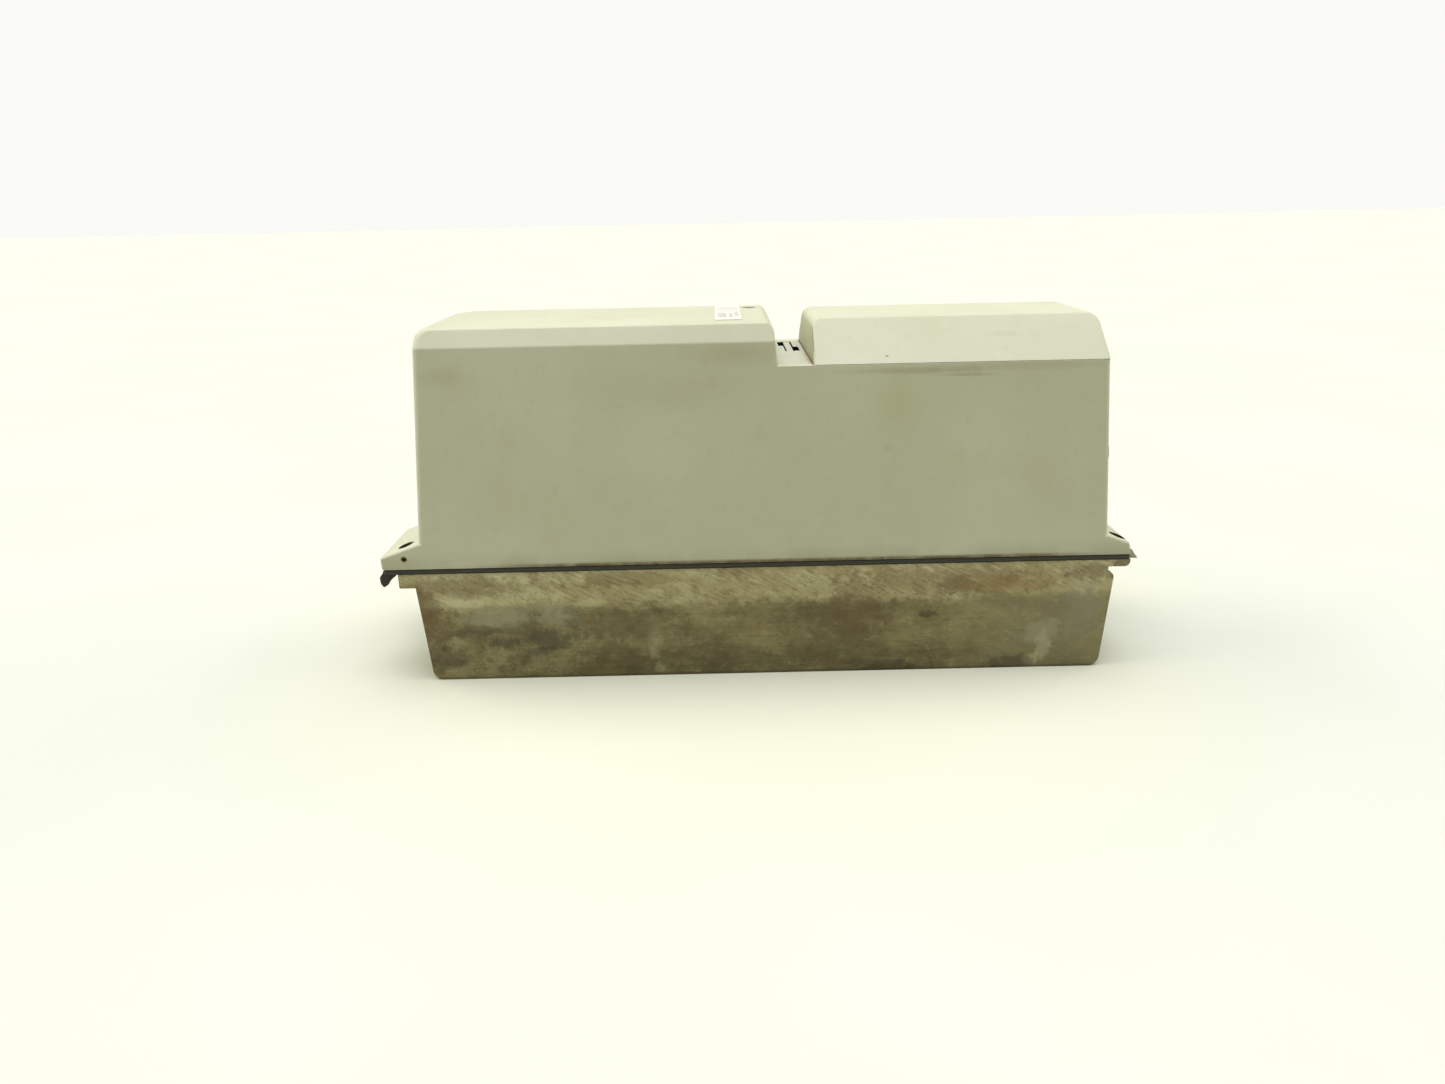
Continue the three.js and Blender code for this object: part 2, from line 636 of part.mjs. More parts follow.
// ---- Terminal lid -------------------------------------------------------------------------------------
function terminalLid() {
  const foot = DECK + SEAT;
  const shell = loft([
    { z: foot, left: notchRight(foot), right: rightWall(foot), half: hipSide(foot), corner: 2 },
    ...roundSteps().map(({ z, inset }) => ({
      z,
      left: notchRight(z) + inset,
      right: rightWall(z, inset),
      half: hipSide(z),
      corner: 2,
    })),
  ]);
  const slant = WALL * Math.SQRT2;
  const crown = HEIGHT - WALL;
  const hollow = loft([
    {
      z: foot - 1,
      left: notchRight(foot) + WALL,
      right: rightWall(foot, WALL),
      half: hipSide(foot - 1) - slant,
      corner: 1,
    },
    {
      z: crown,
      left: notchRight(crown) + WALL + 1,
      right: rightWall(crown, WALL + 1),
      half: hipSide(crown) - slant,
      corner: 1,
    },
  ]);
  const keeper = join([
    block(KEEPER.left, KEEPER.right, KEEPER.near, KEEPER.far, DECK - 7, DECK + 8),
    block(NOTCH_RIGHT + 2, KEEPER.right, KEEPER.near, KEEPER.far, DECK + 5, DECK + 8),
  ]);
  const { left, right, half, places } = LID_TONGUES;
  const tongues = places.map((y) => block(left, right, y - half, y + half, DECK - 2.5, DECK + 8));
  return join([shell.subtract(hollow), keeper, ...tongues]);
}

function lidSeal() {
  const z0 = DECK + SEAT;
  const outline = rectangle(SEAL.left, SEAL.right, -SEAL.half, SEAL.half, 4);
  const outer = slab(outline, z0, z0 + SEAL.height, 3);
  const half = OPENING.half + 0.5;
  const inside = rectangle(OPENING.left - 0.6, OPENING.right + 0.4, -half, half, 3);
  const inner = slab(inside, z0 - 1, z0 + 3, 3);
  return outer.subtract(inner);
}

// ---- Finishes -----------------------------------------------------------------------------------------
const finish = (color, roughness, metalness = 0) =>
  new THREE.MeshStandardMaterial({ color, roughness, metalness });

const FINISH = {
  shell: finish(0xb9bba2, 0.5),
  rubber: finish(0x3a3c3c, 0.8),
  aluminium: finish(0x8a8069, 0.55, 0.8),
  label: finish(0xf2f2ea, 0.5),
  steel: finish(0x9a938a, 0.4, 1),
  brass: finish(0xb08d4a, 0.35, 1),
  dark: finish(0x23211f, 0.45),
  lens: finish(0x4a3d2c, 0.2),
  board: finish(0x1f5a3c, 0.5),
  capacitor: finish(0x22324a, 0.4),
  copper: finish(0xa0552f, 0.4, 0.9),
  white: finish(0xdedccf, 0.6),
  relay: finish(0x2b4f86, 0.45),
  terminal: finish(0x2f6b3c, 0.5),
  ribbon: finish(0x9c9fa3, 0.6),
  plug: finish(0x6f7168, 0.6),
};

// ---- Assembly -----------------------------------------------------------------------------------------
const drive = new THREE.Group();

function add(group, name, material, body) {
  const mesh = new THREE.Mesh(geometryOf(body), FINISH[material]);
  mesh.name = name;
  group.add(mesh);
}

const addEach = (group, name, material, places, make) =>
  places.forEach((place, i) => add(group, `${name}_${i + 1}`, material, make(place)));

const base = new THREE.Group();
add(base, "heatsink", "aluminium", heatsink());
add(base, "base_gasket", "rubber", baseGasket());
add(base, "thermal_pad", "white", thermalPad());
add(base, "power_module", "dark", powerModule());
addEach(base, "module_screw", "steel", MODULE_EARS, ({ x, y }) =>
  panScrew(x, y, MODULE_FOOT + MODULE.flange + SEAT, PLATE_TOP - 5, 4, 3, 2.1),
);
add(base, "earth_screw", "brass", panScrew(EARTH.x, EARTH.y, PLATE_TOP + SEAT, PLATE_TOP - 5, 5, 3.5, 2.1));
addEach(base, "board_post", "brass", POSTS, ({ x, y }) =>
  hexPost(x, y, PLATE_TOP + SEAT, POWER_BOARD_Z - SEAT),
);
add(base, "power_board", "board", board(POWER_BOARD, POWER_BOARD_Z, POSTS));
const capacitorPlaces = CAPACITOR.columns.flatMap((x) => CAPACITOR.rows.map((y) => ({ x, y })));
addEach(base, "bus_capacitor", "capacitor", capacitorPlaces, ({ x, y }) => capacitor(x, y));
add(base, "filter_choke", "copper", choke());
add(base, "inrush_relay", "relay", relay());
addEach(base, "current_sensor", "dark", SENSOR.places, currentSensor);
add(base, "power_terminals", "terminal", powerTerminals());
addEach(base, "terminal_screw", "steel", POLES, (y) =>
  panScrew(TERMINAL.screwX, y, TERMINAL.top - 5, TERMINAL.top - 7.5, 3.2, 2.4, 1.5),
);
const upperHeaderZ = CONTROL_BOARD_Z - HEADER.height - SEAT;
add(base, "lower_header", "white", header(ON_POWER, ON_POWER + HEADER.slitDepth));
add(base, "upper_header", "white", header(upperHeaderZ, upperHeaderZ + SEAT - 1));
add(base, "ribbon_cable", "ribbon", ribbon());
addEach(base, "board_pillar", "brass", PILLARS, ({ x, y }) =>
  hexPost(x, y, ON_POWER, CONTROL_BOARD_Z - SEAT),
);
add(base, "control_board", "board", board(CONTROL_BOARD, CONTROL_BOARD_Z, PILLARS));
add(base, "control_terminals", "terminal", controlTerminals());
add(base, "processor", "dark", processor());
add(base, "status_led", "lens", rod(LED.radius, LENS.x, LENS.y, ON_CONTROL, ON_CONTROL + LED.height, 10));
add(base, "trimmer_body", "relay", trimmerBody());
add(base, "trimmer_rotor", "white", trimmerRotor());
add(base, "mode_jumper", "dark", modeJumper());

const cover = new THREE.Group();
add(cover, "main_cover", "shell", mainCover());
addEach(cover, "cover_screw", "steel", LUG_SCREWS, ({ x, y, tip }) =>
  panScrew(x, y, LUG_SCREW_SEAT, tip, 3.2, 2.6, 2),
);
add(cover, "rating_label", "label", ratingLabel());
add(cover, "light_pipe", "lens", lightPipe());
addEach(cover, "entry_plug", "plug", ENTRIES, entryPlug);
addEach(cover, "entry_nut", "plug", ENTRIES, entryNut);
add(cover, "lid_seal", "rubber", lidSeal());
add(cover, "latch_tongue", "shell", latchTongue());

const lid = new THREE.Group();
add(lid, "terminal_lid", "shell", terminalLid());

drive.add(base, cover, lid);
export default drive;
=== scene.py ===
import json
import math
import random

import bmesh
import bpy
import numpy as np
from mathutils import Matrix, Vector


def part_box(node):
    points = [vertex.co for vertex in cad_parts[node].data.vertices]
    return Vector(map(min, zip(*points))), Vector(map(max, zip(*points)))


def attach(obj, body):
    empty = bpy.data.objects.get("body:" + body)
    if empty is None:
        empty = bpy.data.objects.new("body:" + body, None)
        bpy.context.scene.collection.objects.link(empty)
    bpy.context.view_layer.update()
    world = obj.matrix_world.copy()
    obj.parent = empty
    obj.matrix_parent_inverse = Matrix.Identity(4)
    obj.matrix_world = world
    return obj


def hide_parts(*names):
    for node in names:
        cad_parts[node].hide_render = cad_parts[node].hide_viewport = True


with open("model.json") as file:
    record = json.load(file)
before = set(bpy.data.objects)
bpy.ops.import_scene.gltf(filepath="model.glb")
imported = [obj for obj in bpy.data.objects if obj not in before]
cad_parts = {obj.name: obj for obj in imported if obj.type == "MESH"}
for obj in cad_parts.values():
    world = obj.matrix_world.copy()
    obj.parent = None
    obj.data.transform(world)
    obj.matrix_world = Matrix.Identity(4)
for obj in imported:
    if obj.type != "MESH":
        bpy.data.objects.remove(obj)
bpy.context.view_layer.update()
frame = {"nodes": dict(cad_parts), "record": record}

# ---- Sizes, in millimetres, from the CAD frame -----------------------------------------------------------
MM = 0.001


def span(node):
    """A CAD node's lowest and highest corner in millimetres."""
    low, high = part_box(node)
    return low / MM, high / MM


def place(node):
    """A CAD node's lowest corner, highest corner and middle in millimetres."""
    low, high = span(node)
    return low, high, (low + high) / 2


def middle(node):
    return place(node)[2]


cover_low, cover_high = span("main_cover")
sink_low, sink_high = span("heatsink")
SEAT = 0.1  # between flat faces that rest on each other
TIP, HALF = cover_high.x, cover_high.y
FOOT, TOP = cover_low.z, cover_high.z  # the cover's own, on the gasket
DECK = span("lid_seal")[0].z - SEAT
PLATE_TOP = sink_high.z

WALL = 3.0
FOOT_LEFT, FOOT_RIGHT = -158.5, 164.5
END_DRAFT = math.tan(math.radians(4.4))
SIDE_DRAFT = math.tan(math.radians(2.5))
CHAMFER_FOOT = 158.6
CHAMFER_INSET = 5.0
NOTCH_LEFT, NOTCH_RIGHT = 9.9, 25.9
TOP_ROUND = 4.5
LUG_GAP = {-1: 3.5, 1: 15.0}  # from the middle to the near and the far lug
LUG_SHOULDER = 63.1
SCREW_SEAT = span("cover_screw_1")[1].z - 2.6
ENTRY_Z, ENTRY_BORE = 103.0, 8.3
LUG_SCREWS = [(-165, -39.2), (-165, 39.2), (170, -40.7), (170, 40.7)]
PIN_HOLE = (-164.6, -HALF, 62.4)
TONGUES = [-22, 22]
LATCH_X, LATCH_HALF = 18.75, 2.4
LATCH_NEAR, LATCH_FAR = 1.4, 33.1
PIPE_Y = 27.5
OPENING = (33, 149.5, -33.5, 33.5)  # in the deck, under the lid: x from and to, y from and to
SCREW_HOLE = 2.4


# The cover's walls and the notch's sides at a height.
def left_wall(z, inset=0.0):
    return FOOT_LEFT + (z - FOOT) * END_DRAFT + inset


def right_wall(z, inset=0.0):
    return FOOT_RIGHT - (z - FOOT) * END_DRAFT - inset


def side_wall(z, inset=0.0):
    return HALF - (z - FOOT) * SIDE_DRAFT - inset


def notch_left(z):
    return NOTCH_LEFT - (z - DECK) * 0.09


def notch_right(z):
    return NOTCH_RIGHT + (z - DECK) * 0.03


def hip_side(z):
    return side_wall(DECK) - (z - DECK)


# ---- Mesh building ---------------------------------------------------------------------------------------
def arc_corner(before, corner, after, radius, steps):
    """The arc that rounds one corner of a path, as steps + 1 points."""
    c = Vector(corner)
    a, b = (Vector(before) - c).normalized(), (Vector(after) - c).normalized()
    half = math.acos(max(-1.0, min(1.0, a.dot(b)))) / 2
    centre = c + (a + b).normalized() * radius / math.sin(half)
    start = c + a * radius / math.tan(half) - centre
    end = c + b * radius / math.tan(half) - centre
    turn = math.atan2(start.x * end.y - start.y * end.x, start.dot(end))
    return [tuple(centre + Matrix.Rotation(turn * k / steps, 2) @ start) for k in range(steps + 1)]


def rounded(corners, steps, closed=True):
    """A path of (x, y, radius) with each corner turned into an arc."""
    flat = [(x, y) for x, y, _ in corners]
    points = []
    for i, (x, y, radius) in enumerate(corners):
        end = not closed and i in (0, len(corners) - 1)
        if radius and not end:
            points += arc_corner(flat[i - 1], (x, y), flat[(i + 1) % len(flat)], radius, steps)
        else:
            points.append((x, y))
    return points


def rectangle(x0, x1, y0, y1, radii):
    r = radii if isinstance(radii, (list, tuple)) else [radii] * 4
    return [(x0, y0, r[0]), (x1, y0, r[1]), (x1, y1, r[2]), (x0, y1, r[3])]


def follow(path, z):
    """The other coordinate of a rounded path of (value, z) points at height z."""
    return float(np.interp(z, [p[1] for p in path], [p[0] for p in path]))


def new_object(name, points, faces):
    mesh = bpy.data.meshes.new(name)
    mesh.from_pydata([tuple(c * MM for c in p) for p in points], [], faces)
    piece = bpy.data.objects.new(name, mesh)
    bpy.context.scene.collection.objects.link(piece)
    work = bmesh.new()
    work.from_mesh(mesh)
    bmesh.ops.recalc_face_normals(work, faces=work.faces)
    work.to_mesh(mesh)
    work.free()
    return piece


def loft(name, rings, ring_shaped=False):
    """Rings of equal count, skinned; closed by flat ends, or into a loop."""
    count, last = len(rings[0]), len(rings)
    points = [p for ring in rings for p in ring]
    faces = []
    for k in range(last if ring_shaped else last - 1):
        a, b = k * count, ((k + 1) % last) * count
        faces += [(a + i, a + (i + 1) % count, b + (i + 1) % count, b + i) for i in range(count)]
    if not ring_shaped:
        faces += [tuple(range(count))[::-1], tuple(range((last - 1) * count, last * count))]
    return new_object(name, points, faces)


def stack(name, sections):
    """Outlines of (x, y) at their heights: [(z, outline), ...]."""
    return loft(name, [[(x, y, z) for x, y in outline] for z, outline in sections])


def slab(name, x0, x1, y0, y1, radius, levels, steps=5, shrink=0):
    """A block with rounded corners, in levels of (z, inset) from its foot up.

    With shrink at 1 the corners' radius loses what the sides do."""
    return stack(name, [
        (z, rounded(rectangle(x0 + d, x1 - d, y0 + d, y1 - d, radius - d * shrink), steps)) for z, d in levels
    ])


def box(name, x0, x1, y0, y1, z0, z1, edge=0.0, steps=2):
    """A block whose edges are rounded by edge."""
    piece = slab(name, x0, x1, y0, y1, 0, [(z0, 0), (z1, 0)])
    return bevelled(piece, edge, steps) if edge else piece


def block(name, x, y, half_x, half_y, z0, z1, edge=0.0, steps=2):
    """A box about its middle."""
    return box(name, x - half_x, x + half_x, y - half_y, y + half_y, z0, z1, edge, steps)


def over_plan(name, low, high, z0, z1, edge=0.0, steps=2):
    """A box that fills the plan of a CAD node's box."""
    return box(name, low.x, high.x, low.y, high.y, z0, z1, edge, steps)


def drawn(name, corners, y0, y1, edge=0.0, steps=4):
    """An outline in X and Z drawn out along Y."""
    outline = rounded(corners, steps)
    piece = loft(name, [[(x, y, z) for x, z in outline] for y in (y0, y1)])
    return bevelled(piece, edge, 2) if edge else piece


def circle(radius, sides, z):
    angles = [2 * math.pi * k / sides for k in range(sides)]
    return [(radius * math.cos(a), radius * math.sin(a), z) for a in angles]


def turned(name, profile, centre, direction=(0, 0, 1), sides=48):
    """A body of revolution with flat ends: profile points are (radius, height)."""
    turn = Vector((0, 0, 1)).rotation_difference(Vector(direction)).to_matrix()
    return loft(name, [
        [tuple(turn @ Vector(p) + Vector(centre)) for p in circle(radius, sides, height)]
        for radius, height in profile
    ])


def drill(x, y, radius, z0, z1, sides=24):
    """A cutter for an upright round hole."""
    return turned("hole", [(radius, z0), (radius, z1)], (x, y, 0), sides=sides)


def swept(name, path, radius, sides, looped=False):
    """A round wire along a path of points."""
    spine = [Vector(p) for p in path]
    count = len(spine)
    rings, side = [], None
    for i, p in enumerate(spine):
        ahead = spine[(i + 1) % count] if looped or i + 1 < count else p
        behind = spine[i - 1] if looped or i else p
        along = (ahead - behind).normalized()
        if side is None:
            side = along.orthogonal().normalized()
        side = (side - along * side.dot(along)).normalized()
        other = along.cross(side)
        angles = [2 * math.pi * k / sides for k in range(sides)]
        rings.append([tuple(p + (side * math.cos(a) + other * math.sin(a)) * radius) for a in angles])
    return loft(name, rings, looped)


def settle(piece):
    """Turns the piece's modifiers into plain mesh."""
    graph = bpy.context.evaluated_depsgraph_get()
    mesh = bpy.data.meshes.new_from_object(piece.evaluated_get(graph))
    old = piece.data
    piece.modifiers.clear()
    piece.data = mesh
    bpy.data.meshes.remove(old)
    return piece


def combine(piece, others, operation):
    for other in others:
        change = piece.modifiers.new("change", "BOOLEAN")
        change.operation, change.solver, change.object = operation, "MANIFOLD", other
    bpy.context.view_layer.update()
    settle(piece)
    for other in others:
        bpy.data.meshes.remove(other.data)
    return piece


def joined(piece, others):
    return combine(piece, others, "UNION")


def cut(piece, tools):
    return combine(piece, tools, "DIFFERENCE")


def bevelled(piece, width, steps=2, angle=30):
    """Rounds the edges that turn by more than angle degrees."""
    work = bmesh.new()
    work.from_mesh(piece.data)
    bmesh.ops.remove_doubles(work, verts=work.verts, dist=0.003 * MM)
    flat = math.radians(1)
    bmesh.ops.dissolve_limit(work, angle_limit=flat, verts=work.verts, edges=work.edges, delimit=set())
    work.to_mesh(piece.data)
    work.free()
    edges = piece.modifiers.new("edges", "BEVEL")
    edges.width, edges.segments = width * MM, steps
    edges.limit_method, edges.angle_limit = "ANGLE", math.radians(angle)
    edges.miter_outer = "MITER_ARC"
    return settle(piece)


def merged(name, pieces):
    """One object out of several separate closed bodies."""
    work = bmesh.new()
    for piece in pieces:
        work.from_mesh(piece.data)
        bpy.data.meshes.remove(piece.data)
    mesh = bpy.data.meshes.new(name)
    work.to_mesh(mesh)
    work.free()
    whole = bpy.data.objects.new(name, mesh)
    bpy.context.scene.collection.objects.link(whole)
    return whole


def body_of(node):
    return next(b for b, members in frame["record"]["behaviour"]["bodies"].items() if node in members)


def coat(piece, material):
    piece.data.materials.clear()
    piece.data.materials.append(material)


def dressed(piece, material, angle):
    """Smooth shading up to an angle in degrees, and one material."""
    piece.data.shade_smooth()
    piece.data.set_sharp_from_angle(angle=math.radians(angle))
    flats = piece.modifiers.new("flats", "WEIGHTED_NORMAL")
    flats.keep_sharp = True
    coat(piece, material)


def stand_for(piece, material, node, angle=32):
    """The finished piece takes the place of a CAD node and rides on its body."""
    dressed(piece, material, angle)
    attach(piece, body_of(node))
    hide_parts(node)


def add_on(piece, material, angle=32):
    """A finished detail that rides on the base beside the CAD nodes."""
    dressed(piece, material, angle)
    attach(piece, "base")


def group(name, pieces, material, angle=32):
    add_on(merged(name, pieces), material, angle)


# ---- Material building -----------------------------------------------------------------------------------
def linear(*rgb):
    """A colour in 0-255 display values as linear light."""
    scaled = [c / 255 for c in rgb]
    return tuple(c / 12.92 if c <= 0.04045 else ((c + 0.055) / 1.055) ** 2.4 for c in scaled) + (1.0,)


class Paint:
    """One material's nodes. Patterns are laid out in millimetres, in the piece's own frame."""

    def __init__(self, name, roughness=0.5, metallic=0.0, **sockets):
        self.material = bpy.data.materials.new(name)
        self.material.use_nodes = True
        self.tree = self.material.node_tree
        self.shader = self.tree.nodes["Principled BSDF"]
        self.shader.inputs["Roughness"].default_value = roughness
        self.shader.inputs["Metallic"].default_value = metallic
        for socket, value in sockets.items():
            self.shader.inputs[socket.replace("_", " ")].default_value = value
        self.place = self.vector("SCALE", self.node("TexCoord", {}).outputs["Object"], scale=1 / MM)

    def link(self, value, socket):
        if isinstance(value, bpy.types.NodeSocket):
            self.tree.links.new(value, socket)
        else:
            socket.default_value = value

    def node(self, kind, inputs, **settings):
        """A new node. Its inputs are given by a socket's name or number, and None leaves one alone."""
        made = self.tree.nodes.new("ShaderNode" + kind)
        for name, value in settings.items():
            setattr(made, name, value)
        for socket, value in inputs.items():
            if value is not None:
                self.link(value, made.inputs[socket])
        return made

    def vector(self, operation, a, b=None, scale=None):
        node = self.node("VectorMath", {0: a, 1: b, "Scale": scale}, operation=operation)
        return node.outputs["Value" if operation == "LENGTH" else "Vector"]

    def math(self, operation, a, b=0.0):
        return self.node("Math", {0: a, 1: b}, operation=operation).outputs[0]

    def axis(self, name, place=None):
        return self.node("SeparateXYZ", {0: place or self.place}).outputs[name]

    def facing(self, name):
        """A component of the face's own normal, in the piece's frame."""
        return self.axis(name, self.node("TexCoord", {}).outputs["Normal"])

    def noise(self, size, detail=3.0, roughness=0.5, stretch=(1, 1, 1), turn=0.0, seed=0.0):
        """Fractal noise whose features are about size millimetres."""
        shift = (seed * 31.7, seed * 17.3, seed * 11.9)
        mapping = self.node("Mapping", {"Vector": self.place, "Rotation": (0, turn, 0), "Location": shift})
        squeezed = self.vector("DIVIDE", mapping.outputs[0], stretch)
        fed = {"Vector": squeezed, "Scale": 1 / size, "Detail": detail, "Roughness": roughness}
        return self.node("TexNoise", fed).outputs["Fac"]

    def ramp(self, value, low, high):
        """0 at low and 1 at high, also for low above high."""
        ends = (low, high, 0.0, 1.0) if low < high else (high, low, 1.0, 0.0)
        fed = dict(zip(("Value", "From Min", "From Max", "To Min", "To Max"), (value, *ends)))
        return self.node("MapRange", fed, interpolation_type="SMOOTHSTEP").outputs["Result"]

    def mix(self, factor, a, b):
        return self.node("Mix", {"Factor": factor, 6: a, 7: b}, data_type="RGBA").outputs[2]

    def over(self, colour, rgb, *masks):
        """A display colour laid over another as strongly as the masks say."""
        return self.mix(self.times(*masks), colour, linear(*rgb))

    def times(self, *values):
        result = values[0]
        for value in values[1:]:
            result = self.math("MULTIPLY", result, value)
        return result

    def lift(self, base, *values):
        """The base with a product added to it."""
        return self.math("ADD", base, self.times(*values))

    def blob(self, centre, radii, edge, wobble=None, reach=0.6):
        """1 inside an ellipsoid and 0 outside; edge is how soft it is, wobble a noise that frays it."""
        offset = self.vector("SUBTRACT", self.place, centre)
        distance = self.vector("LENGTH", self.vector("DIVIDE", offset, radii))
        if wobble is not None:
            distance = self.math("ADD", distance, self.times(self.math("SUBTRACT", wobble, 0.5), reach * 2))
        return self.ramp(distance, 1 + edge, max(0.0, 1 - edge))

    def band(self, value, low, high, edge):
        """1 where value lies from low to high."""
        above, below = self.ramp(value, low - edge, low + edge), self.ramp(value, high + edge, high - edge)
        return self.times(above, below)

    def bump(self, height, distance, strength, below=None):
        """A normal raised by a height of 0 to 1, on top of another bump's."""
        fed = {"Strength": strength, "Distance": distance * MM, "Height": height, "Normal": below}
        return self.node("Bump", fed).outputs["Normal"]

    def finish(self, colour, roughness=None, normal=None, metallic=None):
        fed = {"Base Color": colour, "Roughness": roughness, "Normal": normal, "Metallic": metallic}
        for name, value in fed.items():
            if value is not None:
                self.link(value, self.shader.inputs[name])
        return self.material


PLASTIC, PLASTIC_LIGHT, PLASTIC_WARM = (180, 181, 156), (185, 186, 162), (178, 175, 144)
GRIME = (112, 98, 66)


def cover_plastic():
    """Satin moulded plastic, faintly mottled, with grime at its foot and along the notch by the lid, a darker
    line up the lid's left edge, and painted shade in the screw wells, the pin hole and the latch windows.
    """
    p = Paint("cover_plastic", roughness=0.6, Specular_IOR_Level=0.22)
    z, x, y = p.axis("Z"), p.axis("X"), p.axis("Y")
    cloud = p.noise(60, 4, 0.55)
    colour = p.mix(p.ramp(cloud, 0.35, 0.7), linear(*PLASTIC), linear(*PLASTIC_LIGHT))
    warm = p.times(p.ramp(p.noise(34, 5, 0.6, seed=2), 0.5, 0.75), 0.55)
    colour = p.over(colour, PLASTIC_WARM, warm)
    fine = p.noise(5, 6, 0.7, seed=5)
    colour = p.over(colour, GRIME, p.ramp(fine, 0.5, 0.8), 0.1)

    fray = p.noise(6, 6, 0.7, seed=3)
    foot = p.times(p.ramp(z, FOOT + 2.3, FOOT + 0.5), p.ramp(x, -150, -80), p.ramp(x, 175, 120))
    foot = p.times(foot, p.lift(0.55, p.ramp(fray, 0.25, 0.6), 0.45))
    colour = p.over(colour, (84, 66, 38), foot, 0.9)
    haze = p.times(p.ramp(z, FOOT + 9, FOOT), p.ramp(p.noise(22, 4, seed=7), 0.3, 0.7), 0.3)
    colour = p.over(colour, GRIME, haze)

    streak = p.blob((74, -43, 144.8), (27, 4, 1.3), 0.7, fray, 0.9)
    tail = p.blob((93, -43, 142.6), (11, 4, 0.7), 0.7, fray, 0.7)
    colour = p.over(colour, (128, 106, 66), p.math("MAXIMUM", streak, tail), 0.3)
    for centre, radii, strength in (
        ((-139, -43, 146), (9, 5, 3), 0.18),
        ((-8, -43, 153.5), (16, 5, 3.5), 0.18),
        ((-34, -43.5, 138), (22, 5, 7), 0.12),
        ((118, -43.5, 146), (26, 4, 1.6), 0.2),
        ((112, -32.5, 158.6), (6, 2, 1.0), 0.14),
        ((60, -43.5, 110), (2, 3, 1.5), 0.18),
    ):
        smudge = p.blob(centre, radii, 0.9, fray, 0.9)
        colour = p.over(colour, (140, 120, 74), smudge, strength)
    patch = p.blob((64, -44, 131), (9, 6, 12), 0.9, fray, 0.6)
    colour = p.over(colour, (164, 158, 88), patch, 0.3)
    fleck = p.blob((58.5, -40.1, 150.9), (0.8, 0.9, 0.35), 0.4)
    colour = p.over(colour, (110, 80, 70), fleck, 0.7)

    groove = p.times(p.band(x, NOTCH_RIGHT - 0.5, NOTCH_RIGHT + 0.4, 0.4), p.ramp(z, DECK + 0.7, DECK + 0.1))
    groove = p.times(groove, p.ramp(y, -43.5, -40), p.ramp(y, 40, 36), p.ramp(fray, 0.15, 0.4))
    colour = p.over(colour, (84, 68, 44), groove, 0.85)
    hip_plane = side_wall(DECK) + DECK
    below_hip = p.math("SUBTRACT", p.math("SUBTRACT", z, y), hip_plane)
    corner = p.times(p.band(x, NOTCH_RIGHT - 0.2, NOTCH_RIGHT + 0.7, 0.2), p.ramp(z, DECK + 2, DECK + 8))
    corner = p.times(corner, p.ramp(z, 165, 162), p.ramp(below_hip, -1.2, -0.9))
    colour = p.over(colour, (112, 92, 60), corner, 0.7)
    seep = p.times(p.band(x, NOTCH_RIGHT - 1.6, NOTCH_RIGHT + 0.5, 0.9), p.ramp(z, DECK + 3.5, DECK + 0.3))
    seep = p.times(seep, p.ramp(y, -44, -38), p.ramp(y, 4, -16), p.ramp(fray, 0.2, 0.5))
    colour = p.over(colour, (140, 118, 76), seep, 0.4)
    # painted shade: the latch windows are made near black below the deck
    latch_window_shade = p.times(p.band(x, 14, 23.5, 0.05), p.band(y, 0.7, 33.8, 0.05))
    colour = p.over(colour, (26, 22, 16), latch_window_shade, p.ramp(z, DECK - 0.15, DECK - 0.2))
    flat = p.vector("MULTIPLY", p.place, (1, 1, 0))
    # painted shade: each screw well is darkened inside, where little light reaches
    for sx, sy in LUG_SCREWS:
        reach = p.vector("LENGTH", p.vector("SUBTRACT", flat, (sx, sy, 0)))
        hole = p.times(p.ramp(reach, 4.15, 3.55), p.ramp(z, 69, 66))
        colour = p.over(colour, (58, 42, 28), hole, 0.92)
    # painted shade: the pin hole is darkened inside and at its rim
    pin = p.blob(PIN_HOLE, (1.5, 3, 1.4), 0.3)
    colour = p.over(colour, (92, 66, 44), pin, 0.8)

    grain = p.noise(0.55, 4, 0.6, seed=8)
    wave = p.noise(42, 2, 0.4, seed=9)
    rough = p.lift(0.52, p.noise(18, 5, 0.6, seed=6), 0.18)
    normal = p.bump(grain, 0.05, 0.35, p.bump(wave, 0.5, 0.12))
    return p.finish(colour, rough, normal)


